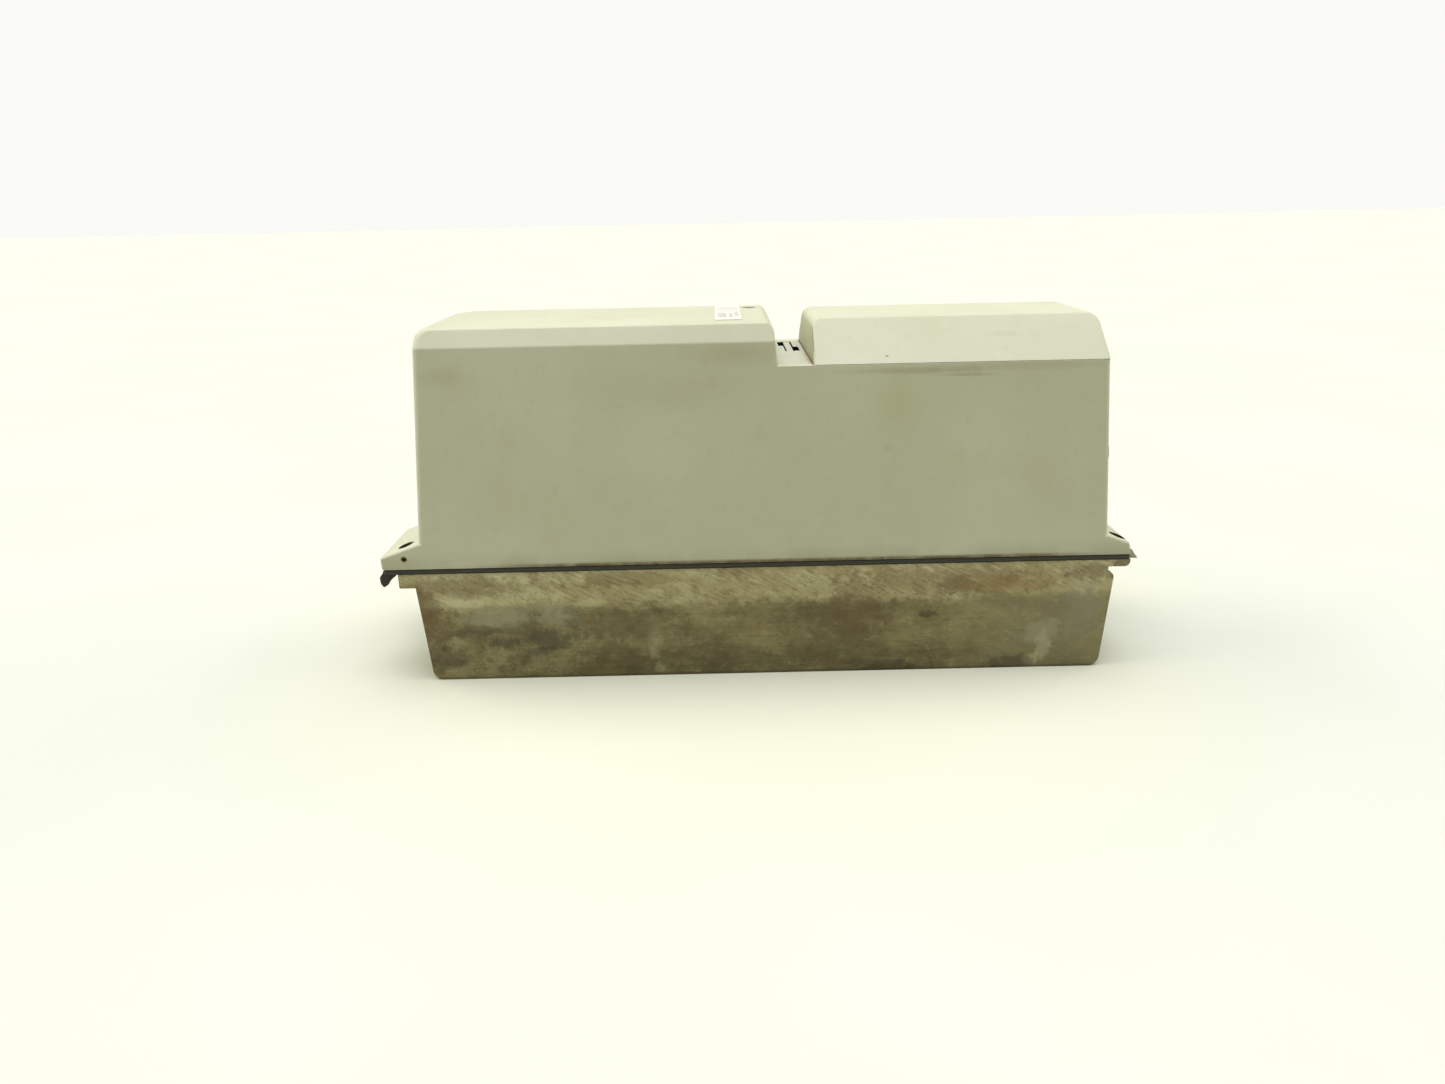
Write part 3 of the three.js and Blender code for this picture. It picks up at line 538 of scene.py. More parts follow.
def worn_aluminium():
    """Cast aluminium gone dull: milled across its upper part, with stains, pale patches and a dark foot."""
    p = Paint("worn_aluminium", roughness=0.55, metallic=0.3)
    z, x = p.axis("Z"), p.axis("X")
    fray = p.noise(8, 8, 0.72, seed=9)
    fine = p.noise(3.4, 8, 0.72, stretch=(1.4, 1, 1), seed=3)
    drift = p.times(p.math("SUBTRACT", fray, 0.5), 16)
    upper = p.ramp(p.math("ADD", z, drift), 34.5, 41)
    tone = p.noise(24, 8, 0.68, stretch=(1.6, 1, 1), seed=2)
    low = p.mix(p.ramp(tone, 0.34, 0.66), linear(106, 96, 63), linear(145, 136, 95))
    high = p.mix(p.ramp(tone, 0.34, 0.66), linear(150, 138, 97), linear(183, 175, 135))
    colour = p.mix(upper, low, high)
    colour = p.over(colour, (66, 56, 34), p.ramp(fine, 0.46, 0.36), 0.32)
    colour = p.over(colour, (190, 184, 148), p.ramp(fine, 0.54, 0.66), 0.26)

    blotch = p.noise(5, 8, 0.76, seed=21)
    left_end = p.times(p.ramp(x, -70, -100), p.math("SUBTRACT", 1, upper))
    colour = p.over(colour, (74, 64, 46), p.ramp(blotch, 0.5, 0.6), left_end, 0.45)
    colour = p.over(colour, (156, 150, 120), p.ramp(blotch, 0.46, 0.36), left_end, 0.35)
    brown = p.noise(15, 8, 0.72, seed=4)
    colour = p.over(colour, (106, 82, 48), p.ramp(brown, 0.52, 0.7), 0.5)
    pits = p.noise(1.7, 6, 0.7, seed=5)
    pitted = p.lift(0.15, upper, 0.35)
    colour = p.over(colour, (72, 56, 34), p.ramp(pits, 0.56, 0.7), pitted)

    scratch = p.noise(1.5, 5, 0.66, stretch=(6, 1, 0.8), turn=math.radians(-28), seed=6)
    across = p.noise(1.9, 5, 0.66, stretch=(8, 1, 0.7), turn=math.radians(-22), seed=7)
    milled = p.math("MAXIMUM", p.ramp(scratch, 0.54, 0.66), p.times(p.ramp(across, 0.55, 0.68), 0.8))
    milled = p.times(milled, upper, p.lift(0.22, p.ramp(z, 42, 53), 0.33))
    colour = p.over(colour, (206, 200, 164), milled)
    colour = p.over(colour, (78, 62, 36), p.ramp(scratch, 0.47, 0.36), upper, 0.36)
    drawn_marks = p.noise(1.2, 5, 0.65, stretch=(30, 1, 0.8), seed=8)
    lower = p.math("SUBTRACT", 1, upper)
    colour = p.over(colour, (166, 160, 124), p.ramp(drawn_marks, 0.54, 0.72), lower, 0.22)
    colour = p.over(colour, (62, 52, 32), p.ramp(drawn_marks, 0.46, 0.3), lower, 0.25)

    colour = p.over(colour, (136, 130, 96), p.ramp(x, 84, 130), lower, 0.5)
    middle_low = p.times(p.band(x, -84, 60, 22), p.band(z, -9, 15, 8))
    colour = p.over(colour, (66, 57, 34), middle_low, p.ramp(fray, 0.3, 0.6), 0.45)
    for mark_x, mark_z, half_wide, half_high, tint, strength in (
        (-139, 39.5, 12, 2.2, (196, 190, 156), 0.55),
        (-124, 32, 15, 5, (156, 156, 130), 0.45),
        (-97, 32, 9, 5, (156, 156, 132), 0.45),
        (-80, 38.5, 6, 1.8, (196, 190, 150), 0.45),
        (-138, 25, 12, 3, (74, 66, 46), 0.5),
        (-121, 19.5, 9, 2.6, (62, 56, 42), 0.5),
        (-102, 20, 10, 4, (62, 58, 44), 0.55),
        (-106, 14, 7, 3, (56, 54, 44), 0.5),
        (-152, 12, 10, 7, (70, 58, 40), 0.5),
        (-49, 21, 4, 9, (168, 162, 122), 0.4),
        (-48.5, 4, 2.2, 3, (170, 164, 128), 0.35),
        (40, 26, 26, 12, (82, 64, 38), 0.35),
        (60, 3, 14, 4, (50, 42, 30), 0.55),
        (81, 29.3, 4.6, 1.8, (60, 50, 32), 0.65),
        (137, 10, 3, 9, (186, 180, 146), 0.4),
        (133, 4, 4, 3.5, (196, 186, 146), 0.5),
        (137, 19, 9, 6, (160, 156, 130), 0.45),
        (123, 2.6, 11, 4, (56, 50, 40), 0.55),
        (155, 31, 9, 12, (134, 132, 112), 0.45),
        (160, 49, 14, 4, (84, 64, 36), 0.45),
        (96, 43, 9, 5, (78, 62, 34), 0.4),
        (-157, 38, 7, 8, (92, 72, 42), 0.5),
        (-140, 48, 30, 5, (104, 88, 54), 0.5),
        (88, 48, 40, 5, (104, 86, 50), 0.35),
        (-60, 50, 24, 3, (108, 88, 52), 0.35),
        (46, 37, 10, 14, (104, 80, 44), 0.4),
        (-62, 27, 24, 8, (76, 66, 42), 0.4),
        (118, 44, 20, 4, (136, 104, 58), 0.35),
        (-106, 22, 22, 6, (78, 70, 50), 0.35),
        (172, 52, 7, 5, (88, 68, 42), 0.6),
        (-152, 27, 8, 6, (104, 78, 48), 0.45),
    ):
        mark = p.blob((mark_x, -HALF, mark_z), (half_wide, 4, half_high), 0.4, fray, 2.1)
        colour = p.over(colour, tint, mark, strength)
    off_arc = p.vector("DIVIDE", p.vector("SUBTRACT", p.place, (66, -HALF, 1)), (19, 400, 14.5))
    arc = p.times(p.band(p.vector("LENGTH", off_arc), 0.97, 1.0, 0.05), p.ramp(x, 62, 70))
    arc = p.times(arc, p.ramp(p.axis("Y"), -40, -46))
    colour = p.over(colour, (56, 46, 30), arc, 0.5)

    foot = p.ramp(p.lift(z, drift, 0.08), 1.8, 0.3)
    colour = p.over(colour, (50, 45, 34), foot, 0.6)
    lip = p.times(p.ramp(z, PLATE_TOP - 1.8, PLATE_TOP), p.ramp(fray, 0.3, 0.6))
    colour = p.over(colour, (60, 48, 30), lip, 0.35)
    rough = p.lift(0.48, tone, 0.25)
    relief = p.math("ADD", p.times(scratch, upper), p.times(pits, -0.6))
    normal = p.bump(relief, 0.14, 0.5)
    return p.finish(colour, rough, normal)


def rubber(name, dark, pale):
    """Rubber greyed by dust in patches and past the right lug, with a painted highlight as a pale band round
    the middle of its height.
    """
    p = Paint(name, roughness=0.7)
    low, high = span("base_gasket")
    # painted highlight: a pale band round the middle of the gasket's height
    ridge = p.band(p.axis("Z"), low.z + 0.36 * (high.z - low.z), low.z + 0.62 * (high.z - low.z), 0.2)
    dusty = p.ramp(p.noise(8, 6, 0.7, seed=1), 0.35, 0.75)
    scrap = p.times(p.ramp(p.axis("X"), 172.8, 174), p.ramp(p.axis("Y"), -44, -45))
    pale_share = p.math("MAXIMUM", p.times(dusty, 0.35), p.math("MAXIMUM", p.times(ridge, 0.9), scrap))
    colour = p.mix(pale_share, linear(*dark), linear(*pale))
    grain = p.noise(0.8, 4, 0.6, seed=2)
    return p.finish(colour, p.lift(0.55, dusty, 0.3), p.bump(grain, 0.08, 0.4))


def moulded(name, base, roughness, variation=0.12, grain_size=0.5):
    """A plain material in one colour, with a fine grain and a little dust."""
    p = Paint(name, roughness=roughness)
    tint = tuple(min(255, c + 26) for c in base)
    dust = p.ramp(p.noise(11, 5, 0.65, seed=1), 0.4, 0.8)
    colour = p.mix(p.times(dust, variation * 4), linear(*base), linear(*tint))
    grain = p.noise(grain_size, 4, 0.6, seed=2)
    rough = p.lift(roughness - 0.06, dust, 0.16)
    return p.finish(colour, rough, p.bump(grain, 0.04, 0.35))


def plated(name, base, roughness=0.32, rust=0.0):
    """A plated or bare metal, with fine marks and some rust or tarnish."""
    p = Paint(name, roughness=roughness, metallic=1.0)
    marks = p.noise(1.2, 5, 0.65, seed=1)
    darker = tuple(c * 0.7 for c in base)
    colour = p.mix(p.ramp(marks, 0.3, 0.7), linear(*darker), linear(*base))
    spots = p.times(p.ramp(p.noise(2.2, 5, 0.7, seed=3), 0.62 - 0.3 * rust, 0.75 - 0.25 * rust), rust)
    colour = p.over(colour, (96, 58, 34), spots)
    metal = p.math("SUBTRACT", 1.0, p.times(spots, 0.8))
    rough = p.math("ADD", roughness, p.math("ADD", p.times(marks, 0.12), p.times(spots, 0.4)))
    return p.finish(colour, rough, p.bump(marks, 0.05, 0.4), metal)


def circuit_board():
    """Solder mask over copper tracks, with pads and the bare edge of the laminate."""
    p = Paint("circuit_board", roughness=0.35)
    fed = {"Vector": p.place, "Scale": 0.16, "Mortar Size": 0.035, "Brick Width": 1.9, "Row Height": 0.42}
    tracks = p.node("TexBrick", fed, offset=0.37, squash=0.6, squash_frequency=3).outputs["Fac"]
    flat = p.vector("MULTIPLY", p.place, (1, 1, 0))
    cells = p.node("TexVoronoi", {"Vector": flat, "Scale": 0.22, "Randomness": 0.75})
    pads = p.ramp(cells.outputs["Distance"], 0.2, 0.16)
    colour = p.mix(tracks, linear(24, 84, 52), linear(44, 118, 74))
    colour = p.over(colour, (20, 70, 46), p.ramp(p.noise(24, 4), 0.35, 0.7), 0.4)
    colour = p.over(colour, (188, 184, 170), pads)
    edge = p.ramp(p.math("ABSOLUTE", p.facing("Z")), 0.6, 0.3)
    colour = p.over(colour, (150, 140, 92), edge)
    rough = p.math("SUBTRACT", 0.42, p.times(pads, 0.12))
    return p.finish(colour, rough, p.bump(p.math("ADD", tracks, pads), 0.05, 0.6))


def sleeve():
    """A capacitor's shrunk sleeve, with a pale polarity stripe, under a bare aluminium top."""
    p = Paint("capacitor_sleeve", roughness=0.38)
    top = span("bus_capacitor_1")[1].z
    columns = [middle(f"bus_capacitor_{i}").x for i in (1, 3)]
    pair = [p.band(p.axis("X"), x - 4, x + 4, 0.2) for x in columns]
    stripe = p.times(p.math("MAXIMUM", *pair), p.ramp(p.math("ABSOLUTE", p.axis("Y")), 26, 26.4))
    dashes = p.ramp(p.math("PINGPONG", p.times(p.axis("Z"), 0.14), 0.5), 0.28, 0.3)
    colour = p.mix(stripe, linear(24, 36, 62), linear(172, 178, 186))
    minus = p.times(p.ramp(p.math("ABSOLUTE", p.axis("Y")), 31.6, 31.7), dashes)
    colour = p.over(colour, (24, 36, 62), minus, 0.8)
    crown = p.times(p.ramp(p.axis("Z"), top - 0.7, top - 0.5), p.ramp(p.facing("Z"), 0.2, 0.5))
    crown = p.math("MAXIMUM", crown, p.ramp(p.axis("Z"), top - 0.3, top - 0.2))
    colour = p.over(colour, (176, 178, 180), crown)
    marks = p.noise(7, 4, 0.6, seed=1)
    colour = p.over(colour, (120, 120, 116), p.ramp(marks, 0.45, 0.8), 0.2)
    return p.finish(colour, p.lift(0.3, marks, 0.2), p.bump(marks, 0.2, 0.2),
                    p.times(crown, 0.9))


def label_film():
    """A white film label with generic grey printed bars, and no words."""
    p = Paint("label_film", roughness=0.5, Specular_IOR_Level=0.3)
    low, high = span("rating_label")
    wide, deep = high.x - low.x, high.y - low.y
    x = p.math("DIVIDE", p.math("SUBTRACT", p.axis("X"), low.x), wide)
    y = p.math("DIVIDE", p.math("SUBTRACT", p.axis("Y"), low.y), deep)
    colour = p.mix(p.ramp(p.noise(12, 4, seed=2), 0.3, 0.8), linear(206, 206, 196), linear(200, 200, 186))
    broken = p.ramp(p.noise(1.6, 3, 0.6, stretch=(1, 2.4, 1), seed=1), 0.34, 0.42)
    rows = p.ramp(p.math("PINGPONG", p.times(y, 14), 0.5), 0.16, 0.22)
    for x0, x1, y0, y1, strength in (
        (0.14, 0.44, 0.12, 0.46, 0.5), (0.54, 0.66, 0.14, 0.4, 0.55), (0.74, 0.9, 0.2, 0.48, 0.5),
        (0.1, 0.9, 0.62, 0.88, 0.25), (0.06, 0.94, 0.53, 0.56, 0.35),
    ):
        area = p.times(p.band(x, x0, x1, 0.01), p.band(y, y0, y1, 0.01), rows, broken)
        colour = p.over(colour, (96, 96, 92), area, strength)
    return p.finish(colour, p.lift(0.45, p.noise(9, 4, seed=3), 0.14),
                    p.bump(p.noise(3, 3, seed=4), 0.02, 0.5))


def lens_plastic():
    """Smoky clear plastic, dusty on top."""
    p = Paint("lens_plastic", roughness=0.16)
    dust = p.ramp(p.noise(2.4, 5, 0.65), 0.4, 0.8)
    colour = p.mix(dust, linear(46, 34, 22), linear(74, 60, 42))
    return p.finish(colour, p.lift(0.12, dust, 0.3))


def varnished_copper():
    p = Paint("copper_winding", roughness=0.3, metallic=0.85)
    tone = p.noise(4, 4, 0.6)
    colour = p.mix(p.ramp(tone, 0.3, 0.7), linear(140, 66, 34), linear(190, 104, 58))
    return p.finish(colour, p.lift(0.22, tone, 0.2), p.bump(tone, 0.1, 0.2))


def ribbon_sheath():
    """Grey ribbon cable, ridged by its conductors, with painted shade in the grooves between them and painted
    highlights on their crowns.
    """
    p = Paint("ribbon_sheath", roughness=0.5)
    ridge = p.math("PINGPONG", p.math("MULTIPLY", p.axis("Y"), 1 / 1.27), 0.5)
    # painted shade and highlight: darker between the conductors, lighter on them
    colour = p.mix(p.ramp(ridge, 0.1, 0.3), linear(120, 122, 124), linear(168, 170, 172))
    marked = p.ramp(p.axis("Y"), -11.9, -12.1)
    colour = p.over(colour, (150, 40, 36), marked)
    return p.finish(colour, p.lift(0.45, p.noise(4), 0.15), p.bump(ridge, 0.5, 0.8))


plastic = cover_plastic()
aluminium = worn_aluminium()
gasket_black = rubber("gasket_rubber", (32, 31, 24), (74, 76, 60))
gasket_worn = rubber("worn_rubber", (104, 102, 80), (150, 150, 122))
lens_dark = lens_plastic()
black_plastic = moulded("black_plastic", (36, 36, 36), roughness=0.42)
plug_plastic = moulded("plug_plastic", (112, 114, 106), roughness=0.5)
white_plastic = moulded("white_plastic", (222, 220, 208), variation=0.1, roughness=0.45)
blue_plastic = moulded("blue_plastic", (44, 80, 140), roughness=0.38)
terminal_green = moulded("terminal_plastic", (48, 108, 62), roughness=0.42)
pad_grey = moulded("thermal_pad", (196, 196, 190), roughness=0.75, grain_size=0.3)
zinc = plated("zinc_steel", (176, 174, 168), rust=0.25)
rusty = plated("rusted_screw", (104, 84, 62), roughness=0.5, rust=0.9)
brass = plated("brass", (196, 158, 88))
tinned = plated("tinned_leads", (188, 188, 186), roughness=0.26)
board_green = circuit_board()
cap_sleeve = sleeve()
copper = varnished_copper()
ribbon_grey = ribbon_sheath()
paper = label_film()
ferrite = moulded("ferrite", (50, 52, 52), roughness=0.6, grain_size=0.3)
film_yellow = moulded("film_yellow", (196, 152, 62), roughness=0.4)
beige_lacquer = moulded("beige_lacquer", (186, 160, 118), roughness=0.35)


# ---- Cover and lid ---------------------------------------------------------------------------------------
def levels(*paths):
    """Every height that one of the rounded paths turns at, without near doubles."""
    heights = sorted({round(p[1], 3) for path in paths for p in path})
    return [z for i, z in enumerate(heights) if not i or z - heights[i - 1] > 0.02]


def wall_ring(z, left, right, half, radii):
    return [(x, y, z) for x, y in rounded(rectangle(left, right, -half, half, radii), 6)]


def hull():
    """The drafted box up to the deck."""
    rim = 0.45
    heights = [FOOT] + [DECK - rim * (1 - math.sin(math.radians(a))) for a in (0, 30, 60, 90)]
    rings = []
    for z in heights:
        inset = rim - math.sqrt(max(0.0, rim**2 - max(0.0, z - DECK + rim) ** 2))
        rings.append(wall_ring(z, left_wall(z, inset), right_wall(z, inset), side_wall(z, inset), 3))
    return loft("hull", rings)


def raised_part():
    """The raised left part: chamfered long sides, ends rounded at the top, its left corners ever rounder."""
    low = DECK - 12

    def left_corner(z, growth):
        return 3 + growth * max(0.0, (z - CHAMFER_FOOT) / (TOP - CHAMFER_FOOT)) ** 1.5

    chamfer_top = side_wall(CHAMFER_FOOT) - CHAMFER_INSET
    side = [(side_wall(low), low, 0), (side_wall(CHAMFER_FOOT), CHAMFER_FOOT, 2.2), (chamfer_top, TOP, 1.6),
            (0, TOP, 0)]
    left = [(left_wall(low), low, 0), (left_wall(TOP), TOP, TOP_ROUND), (0, TOP, 0)]
    right = [(notch_left(low), low, 0), (notch_left(TOP), TOP, TOP_ROUND), (-99, TOP, 0)]
    side, left, right = [rounded(path, 8, closed=False)[:-1] for path in (side, left, right)]
    rings = [
        wall_ring(z, follow(left, z), follow(right, z), follow(side, z),
                  [left_corner(z, 2), 0.7, 0.7, left_corner(z, 10)])
        for z in levels(side, left, right)
    ]
    return loft("raised", rings)


def fixing_lug(end, side):
    """A fixing lug: its top slopes up to the end wall, its edges well rounded."""
    wall = left_wall if end < 0 else right_wall
    slope_top = 69.6 if end < 0 else 66.9
    tip = end * TIP
    foot_x, shoulder_x = (tip + 0.6, tip) if end < 0 else (tip, tip - 2)
    root = wall(TOP) - end * 6
    low = FOOT - 3
    outline = [(root, low), (foot_x, low), (shoulder_x, LUG_SHOULDER), (wall(slope_top), slope_top),
               (root, slope_top)]
    inner = [(x, side * LUG_GAP[side], z) for x, z in outline]
    outer = [(x, side * side_wall(z), z) for x, z in outline]
    piece = bevelled(loft("lug", [inner, outer]), 1.3, 4, 20)
    return cut(piece, [box("below", -TIP - 2, TIP + 2, -HALF - 2, HALF + 2, low - 1, FOOT)])


def well(x, y):
    """A cutter for a fixing screw's stepped hole, open past the top of the lug."""
    floor, wide, top = SCREW_SEAT - SEAT, 3.4, 75.5
    profile = [(SCREW_HOLE, FOOT - 2), (SCREW_HOLE, floor), (wide, floor), (wide, top)]
    return turned("well", profile, (x, y, 0), sides=32)


def on_end_wall(name, profile, y):
    """A body turned about an entry's axis, square to the drafted wall."""
    direction = (math.cos(math.atan(END_DRAFT)), 0, math.sin(math.atan(END_DRAFT)))
    return turned(name, profile, (right_wall(ENTRY_Z), y, ENTRY_Z), direction)


ENTRIES = [middle(f"entry_plug_{i}").y for i in (1, 2, 3)]
ENTRY_TILT = Matrix.Rotation(math.pi / 2 - math.atan(END_DRAFT), 4, "Y")


def entry_frame(y):
    """The frame whose Z is an entry's axis, with its middle on the drafted wall, in metres."""
    return Matrix.Translation(Vector((right_wall(ENTRY_Z), y, ENTRY_Z)) * MM) @ ENTRY_TILT


def cover():
    """The main cover: hollow, with a lid opening, latch windows, and holes for the screws and entries."""
    shell = joined(hull(), [raised_part()] + [fixing_lug(e, s) for e in (-1, 1) for s in (-1, 1)])
    wall_hollow = loft("hollow", [
        wall_ring(z, left_wall(z, WALL), right_wall(z, WALL), side_wall(z, WALL), 1.5)
        for z in (FOOT - 1, DECK - WALL)
    ])
    crown = TOP - WALL
    top_hollow = loft("hollow_top", [
        wall_ring(z, left_wall(z, WALL + extra), notch_left(z) - WALL - extra, half, 1.5)
        for z, extra, half in (
            (DECK - WALL - 1, 0.1, side_wall(DECK, WALL + 0.1)),
            (CHAMFER_FOOT - 1, 0.1, side_wall(CHAMFER_FOOT, WALL + 0.1)),
            (crown, 1.5, side_wall(CHAMFER_FOOT) - CHAMFER_INSET - 1.2),
        )
    ])
    x, half, near, far = LATCH_X, LATCH_HALF, LATCH_NEAR, LATCH_FAR
    eased = [(DECK - 8, 0), (DECK - 0.6, 0), (DECK - 0.2, -0.15), (DECK, -0.5), (DECK + 1, -0.5)]
    opening = slab("opening", *OPENING, 4, eased, 6, 1)
    windows = [
        box("window", x - half, x + half, near - 0.8, far + 0.5, DECK - 8, DECK + 1),
        box("window", x - half - 2.3, x, 19, far - 0.6, DECK - 8, DECK + 1),
        box("window", x, x + half + 2.3, near + 0.6, 15.6, DECK - 8, DECK + 1),
    ]
    slots = [box("slot", 152.1, 155.4, t - 4.5, t + 4.5, DECK - 6, DECK + 1) for t in TONGUES]
    lens = turned("lens_hole", [(4, TOP - 8), (4, TOP - 0.5), (4.15, TOP - 0.2), (4.5, TOP), (4.5, TOP + 1)],
                  (0, PIPE_Y, 0))
    pin = turned("pin", [(1.1, -3), (1.1, 3)], PIN_HOLE, (0, 1, 0), 24)
    holes = [on_end_wall("hole", [(ENTRY_BORE, -6), (ENTRY_BORE, 6)], y) for y in ENTRIES]
    wells = [well(sx, sy) for sx, sy in LUG_SCREWS]
    shell = cut(shell, [wall_hollow, top_hollow, opening, lens, pin, *windows, *slots, *wells, *holes])
    stand_for(shell, plastic, "main_cover", angle=26)


def lid():
    """The snap-on terminal lid: long sides at 45 degrees, ends rounded at the top."""
    foot = DECK + SEAT
    side = [(hip_side(foot), foot, 0), (hip_side(TOP), TOP, 2.0), (0, TOP, 0)]
    left = [(notch_right(foot), foot, 0), (notch_right(TOP), TOP, TOP_ROUND), (99, TOP, 0)]
    right = [(right_wall(foot), foot, 0), (right_wall(TOP), TOP, TOP_ROUND + 0.5), (0, TOP, 0)]
    side, left, right = [rounded(path, 8, closed=False)[:-1] for path in (side, left, right)]
    shell = loft("terminal_lid_shell", [
        wall_ring(z, follow(left, z), follow(right, z), follow(side, z), [1.1, 2, 2, 1.1])
        for z in levels(side, left, right)
    ])
    slant, crown = WALL * math.sqrt(2), TOP - WALL
    hollow = loft("lid_hollow", [
        wall_ring(z, notch_right(z) + WALL + extra, right_wall(z, WALL + extra), hip_side(z) - slant, 1)
        for z, extra in ((foot - 1, 0), (crown, 1))
    ])
    shell = cut(shell, [hollow])
    keeper = [
        box("keeper", 33.6, 35.6, 3, 14, DECK - 7, DECK + 8, 0.3),
        box("keeper", NOTCH_RIGHT + 2, 35.6, 3, 14, DECK + 5, DECK + 8, 0.3),
    ]
    tongues = [box("tongue", 153.2, 154.9, t - 4, t + 4, DECK - 2.5, DECK + 8, 0.3) for t in TONGUES]
    ribs = [box("rib", x, x + 1.6, -hip_side(TOP) + 2, hip_side(TOP) - 2, crown - 2.4, crown + 1, 0.3)
            for x in (58, 92, 126)]
    stand_for(joined(shell, keeper + tongues + ribs), plastic, "terminal_lid", angle=26)


def lid_seal():
    """The seal under the lid: a closed rubber bead that follows a rounded rectangle."""
    left, right, outer, inner, height = 29.6, 151, 36.4, 34, 1.8
    foot = span("lid_seal")[0].z
    bead = [(0.0, 0.3), (0.0, 0.7), (0.2, 0.95), (0.45, 1.0), (0.8, 0.95), (1.0, 0.7), (1.0, 0.3),
            (0.8, 0.0), (0.2, 0.0)]
    rings = []
    for across, up in bead:
        r = (outer - inner) * across
        plan = rounded(rectangle(left + r, right - r, -outer + r, outer - r, 4 - r), 8)
        rings.append([(x, y, foot + height * up) for x, y in plan])
    stand_for(loft("lid_seal_bead", rings, ring_shaped=True), gasket_black, "lid_seal", angle=60)


def tongue():
    """The lid's latch tongue, copied from its CAD shape with softened edges."""
    piece = bpy.data.objects.new("latch_tongue_piece", frame["nodes"]["latch_tongue"].data.copy())
    bpy.context.scene.collection.objects.link(piece)
    stand_for(bevelled(piece, 0.3), plastic, "latch_tongue")


def label():
    low, high = span("rating_label")
    levels_up = [(low.z, 0), (high.z - 0.05, 0), (high.z, 0.06)]
    film = slab("rating_label_film", low.x, high.x, low.y, high.y, 0.8, levels_up)
    stand_for(film, paper, "rating_label")


def screw_shape(name, x, y, head_z, r, h, tip, shank):
    """A pan-head screw with a crossed recess, its head of radius r and height h seated at head_z."""
    dome = [(1, 0), (1, 0.45), (0.93, 0.7), (0.75, 0.9), (0.45, 1)]
    profile = [(0.5 * shank, tip), (shank, tip + 0.6), (shank, head_z)]
    profile += [(r * wide, head_z + h * up) for wide, up in dome]
    piece = turned(name, profile, (x, y, 0), sides=32)
    arm, width, deep = r * 0.62, 0.08 * r + 0.1, head_z + h * 0.42
    cross = [block("cross", x, y, a, b, deep, head_z + h + 1) for a, b in ((arm, width), (width, arm))]
    return cut(piece, cross)


def cross_screw(name, node, material, radius, height, head_z, shank):
    """A screw that stands where its CAD node does."""
    low, _, at = place(node)
    piece = screw_shape(name, at.x, at.y, head_z, radius, height, low.z, shank)
    stand_for(piece, material, node, angle=40)


def light_pipe():
    low, high, at = place("light_pipe")
    r = 3.7
    profile = [(2.4, low.z), (2.4, TOP - 6), (r, TOP - 6), (r, high.z - 0.9), (r - 0.3, high.z - 0.5),
               (r - 1, high.z - 0.2), (1.5, high.z), (0.3, high.z)]
    stand_for(turned("light_pipe_lens", profile, (at.x, at.y, 0)), lens_dark, "light_pipe")


def entry_plug(i):
    """A blanking plug: knurled head with a coin slot."""
    y = ENTRIES[i - 1]
    profile = [(7, -11), (8, -10), (8, 0.3), (11, 0.3), (11, 2.3), (10.7, 2.9), (10.1, 3.3), (7.5, 3.3),
               (7.2, 3.0), (6.5, 3.0)]
    tools = [box("slot", -1, 1, -6.2, 6.2, 1.6, 4)]
    for k in range(18):
        tools.append(box("notch", 10.6, 12, -0.5, 0.5, 0.9, 4))
        tools[-1].data.transform(Matrix.Rotation(k * math.pi / 9, 4, "Z"))
    for tool in tools:
        tool.data.transform(entry_frame(y))
    piece = cut(on_end_wall("plug", profile, y), tools)
    piece.name = f"entry_plug_head_{i}"
    stand_for(piece, plug_plastic, f"entry_plug_{i}", angle=30)


def gasket_outline(inset):
    """The gasket's plan: a long rectangle with a fixing slot in each end."""
    d, near, far = inset, -LUG_GAP[-1] - inset, LUG_GAP[1] + inset
    left, right, half = -TIP + 1 + d, TIP - 1 - d, HALF - d
    corners = [
        (right, far, 0.6), (right, half, 1), (left, half, 1), (left, far, 0.6),
        (FOOT_LEFT + d, far, 0.4), (FOOT_LEFT + d, near, 0.4),
        (left, near, 0.6), (left, -half, 1), (right, -half, 1), (right, near, 0.6),
        (FOOT_RIGHT - d, near, 0.4), (FOOT_RIGHT - d, far, 0.4),
    ]
    return rounded(corners, 3)


def gasket():
    """A two-lipped rubber gasket whose left corner has torn and hangs."""
    low, high = span("base_gasket")
    thickness = high.z - low.z
    lips = [(0.0, 0.35), (0.12, 0.08), (0.36, 0.0), (0.46, 0.1), (0.5, 0.42), (0.56, 0.1), (0.68, 0.02),
            (0.9, 0.1), (1.0, 0.4)]
    sections = [(low.z + share * thickness, gasket_outline(inset)) for share, inset in lips]
    ring = stack("gasket_ring", sections)
    z0, z1 = low.z - 1, high.z + 1
    inside = slab("inside", FOOT_LEFT + 4, FOOT_RIGHT - 4, -HALF + 4, HALF - 4, 2, [(z0, 0), (z1, 0)], 4)
    holes = [drill(x, y, SCREW_HOLE, z0, z1) for x, y in LUG_SCREWS]
    ring = joined(cut(ring, [inside, *holes]), [torn_flap()])
    stand_for(ring, gasket_black, "base_gasket", angle=40)


def curled_leaf(name, outline, thickness, y, curl):
    """A torn leaf of rubber: an outline in X and Z that leans out by curl over its height."""
    top, bottom = max(z for _, z in outline), min(z for _, z in outline)
    front, back = [], []
    for x, z in outline:
        lean = y - curl * ((top - z) / (top - bottom)) ** 2
        front.append((x, lean, z))
        back.append((x, lean + thickness, z))
    return loft(name, [front, back])


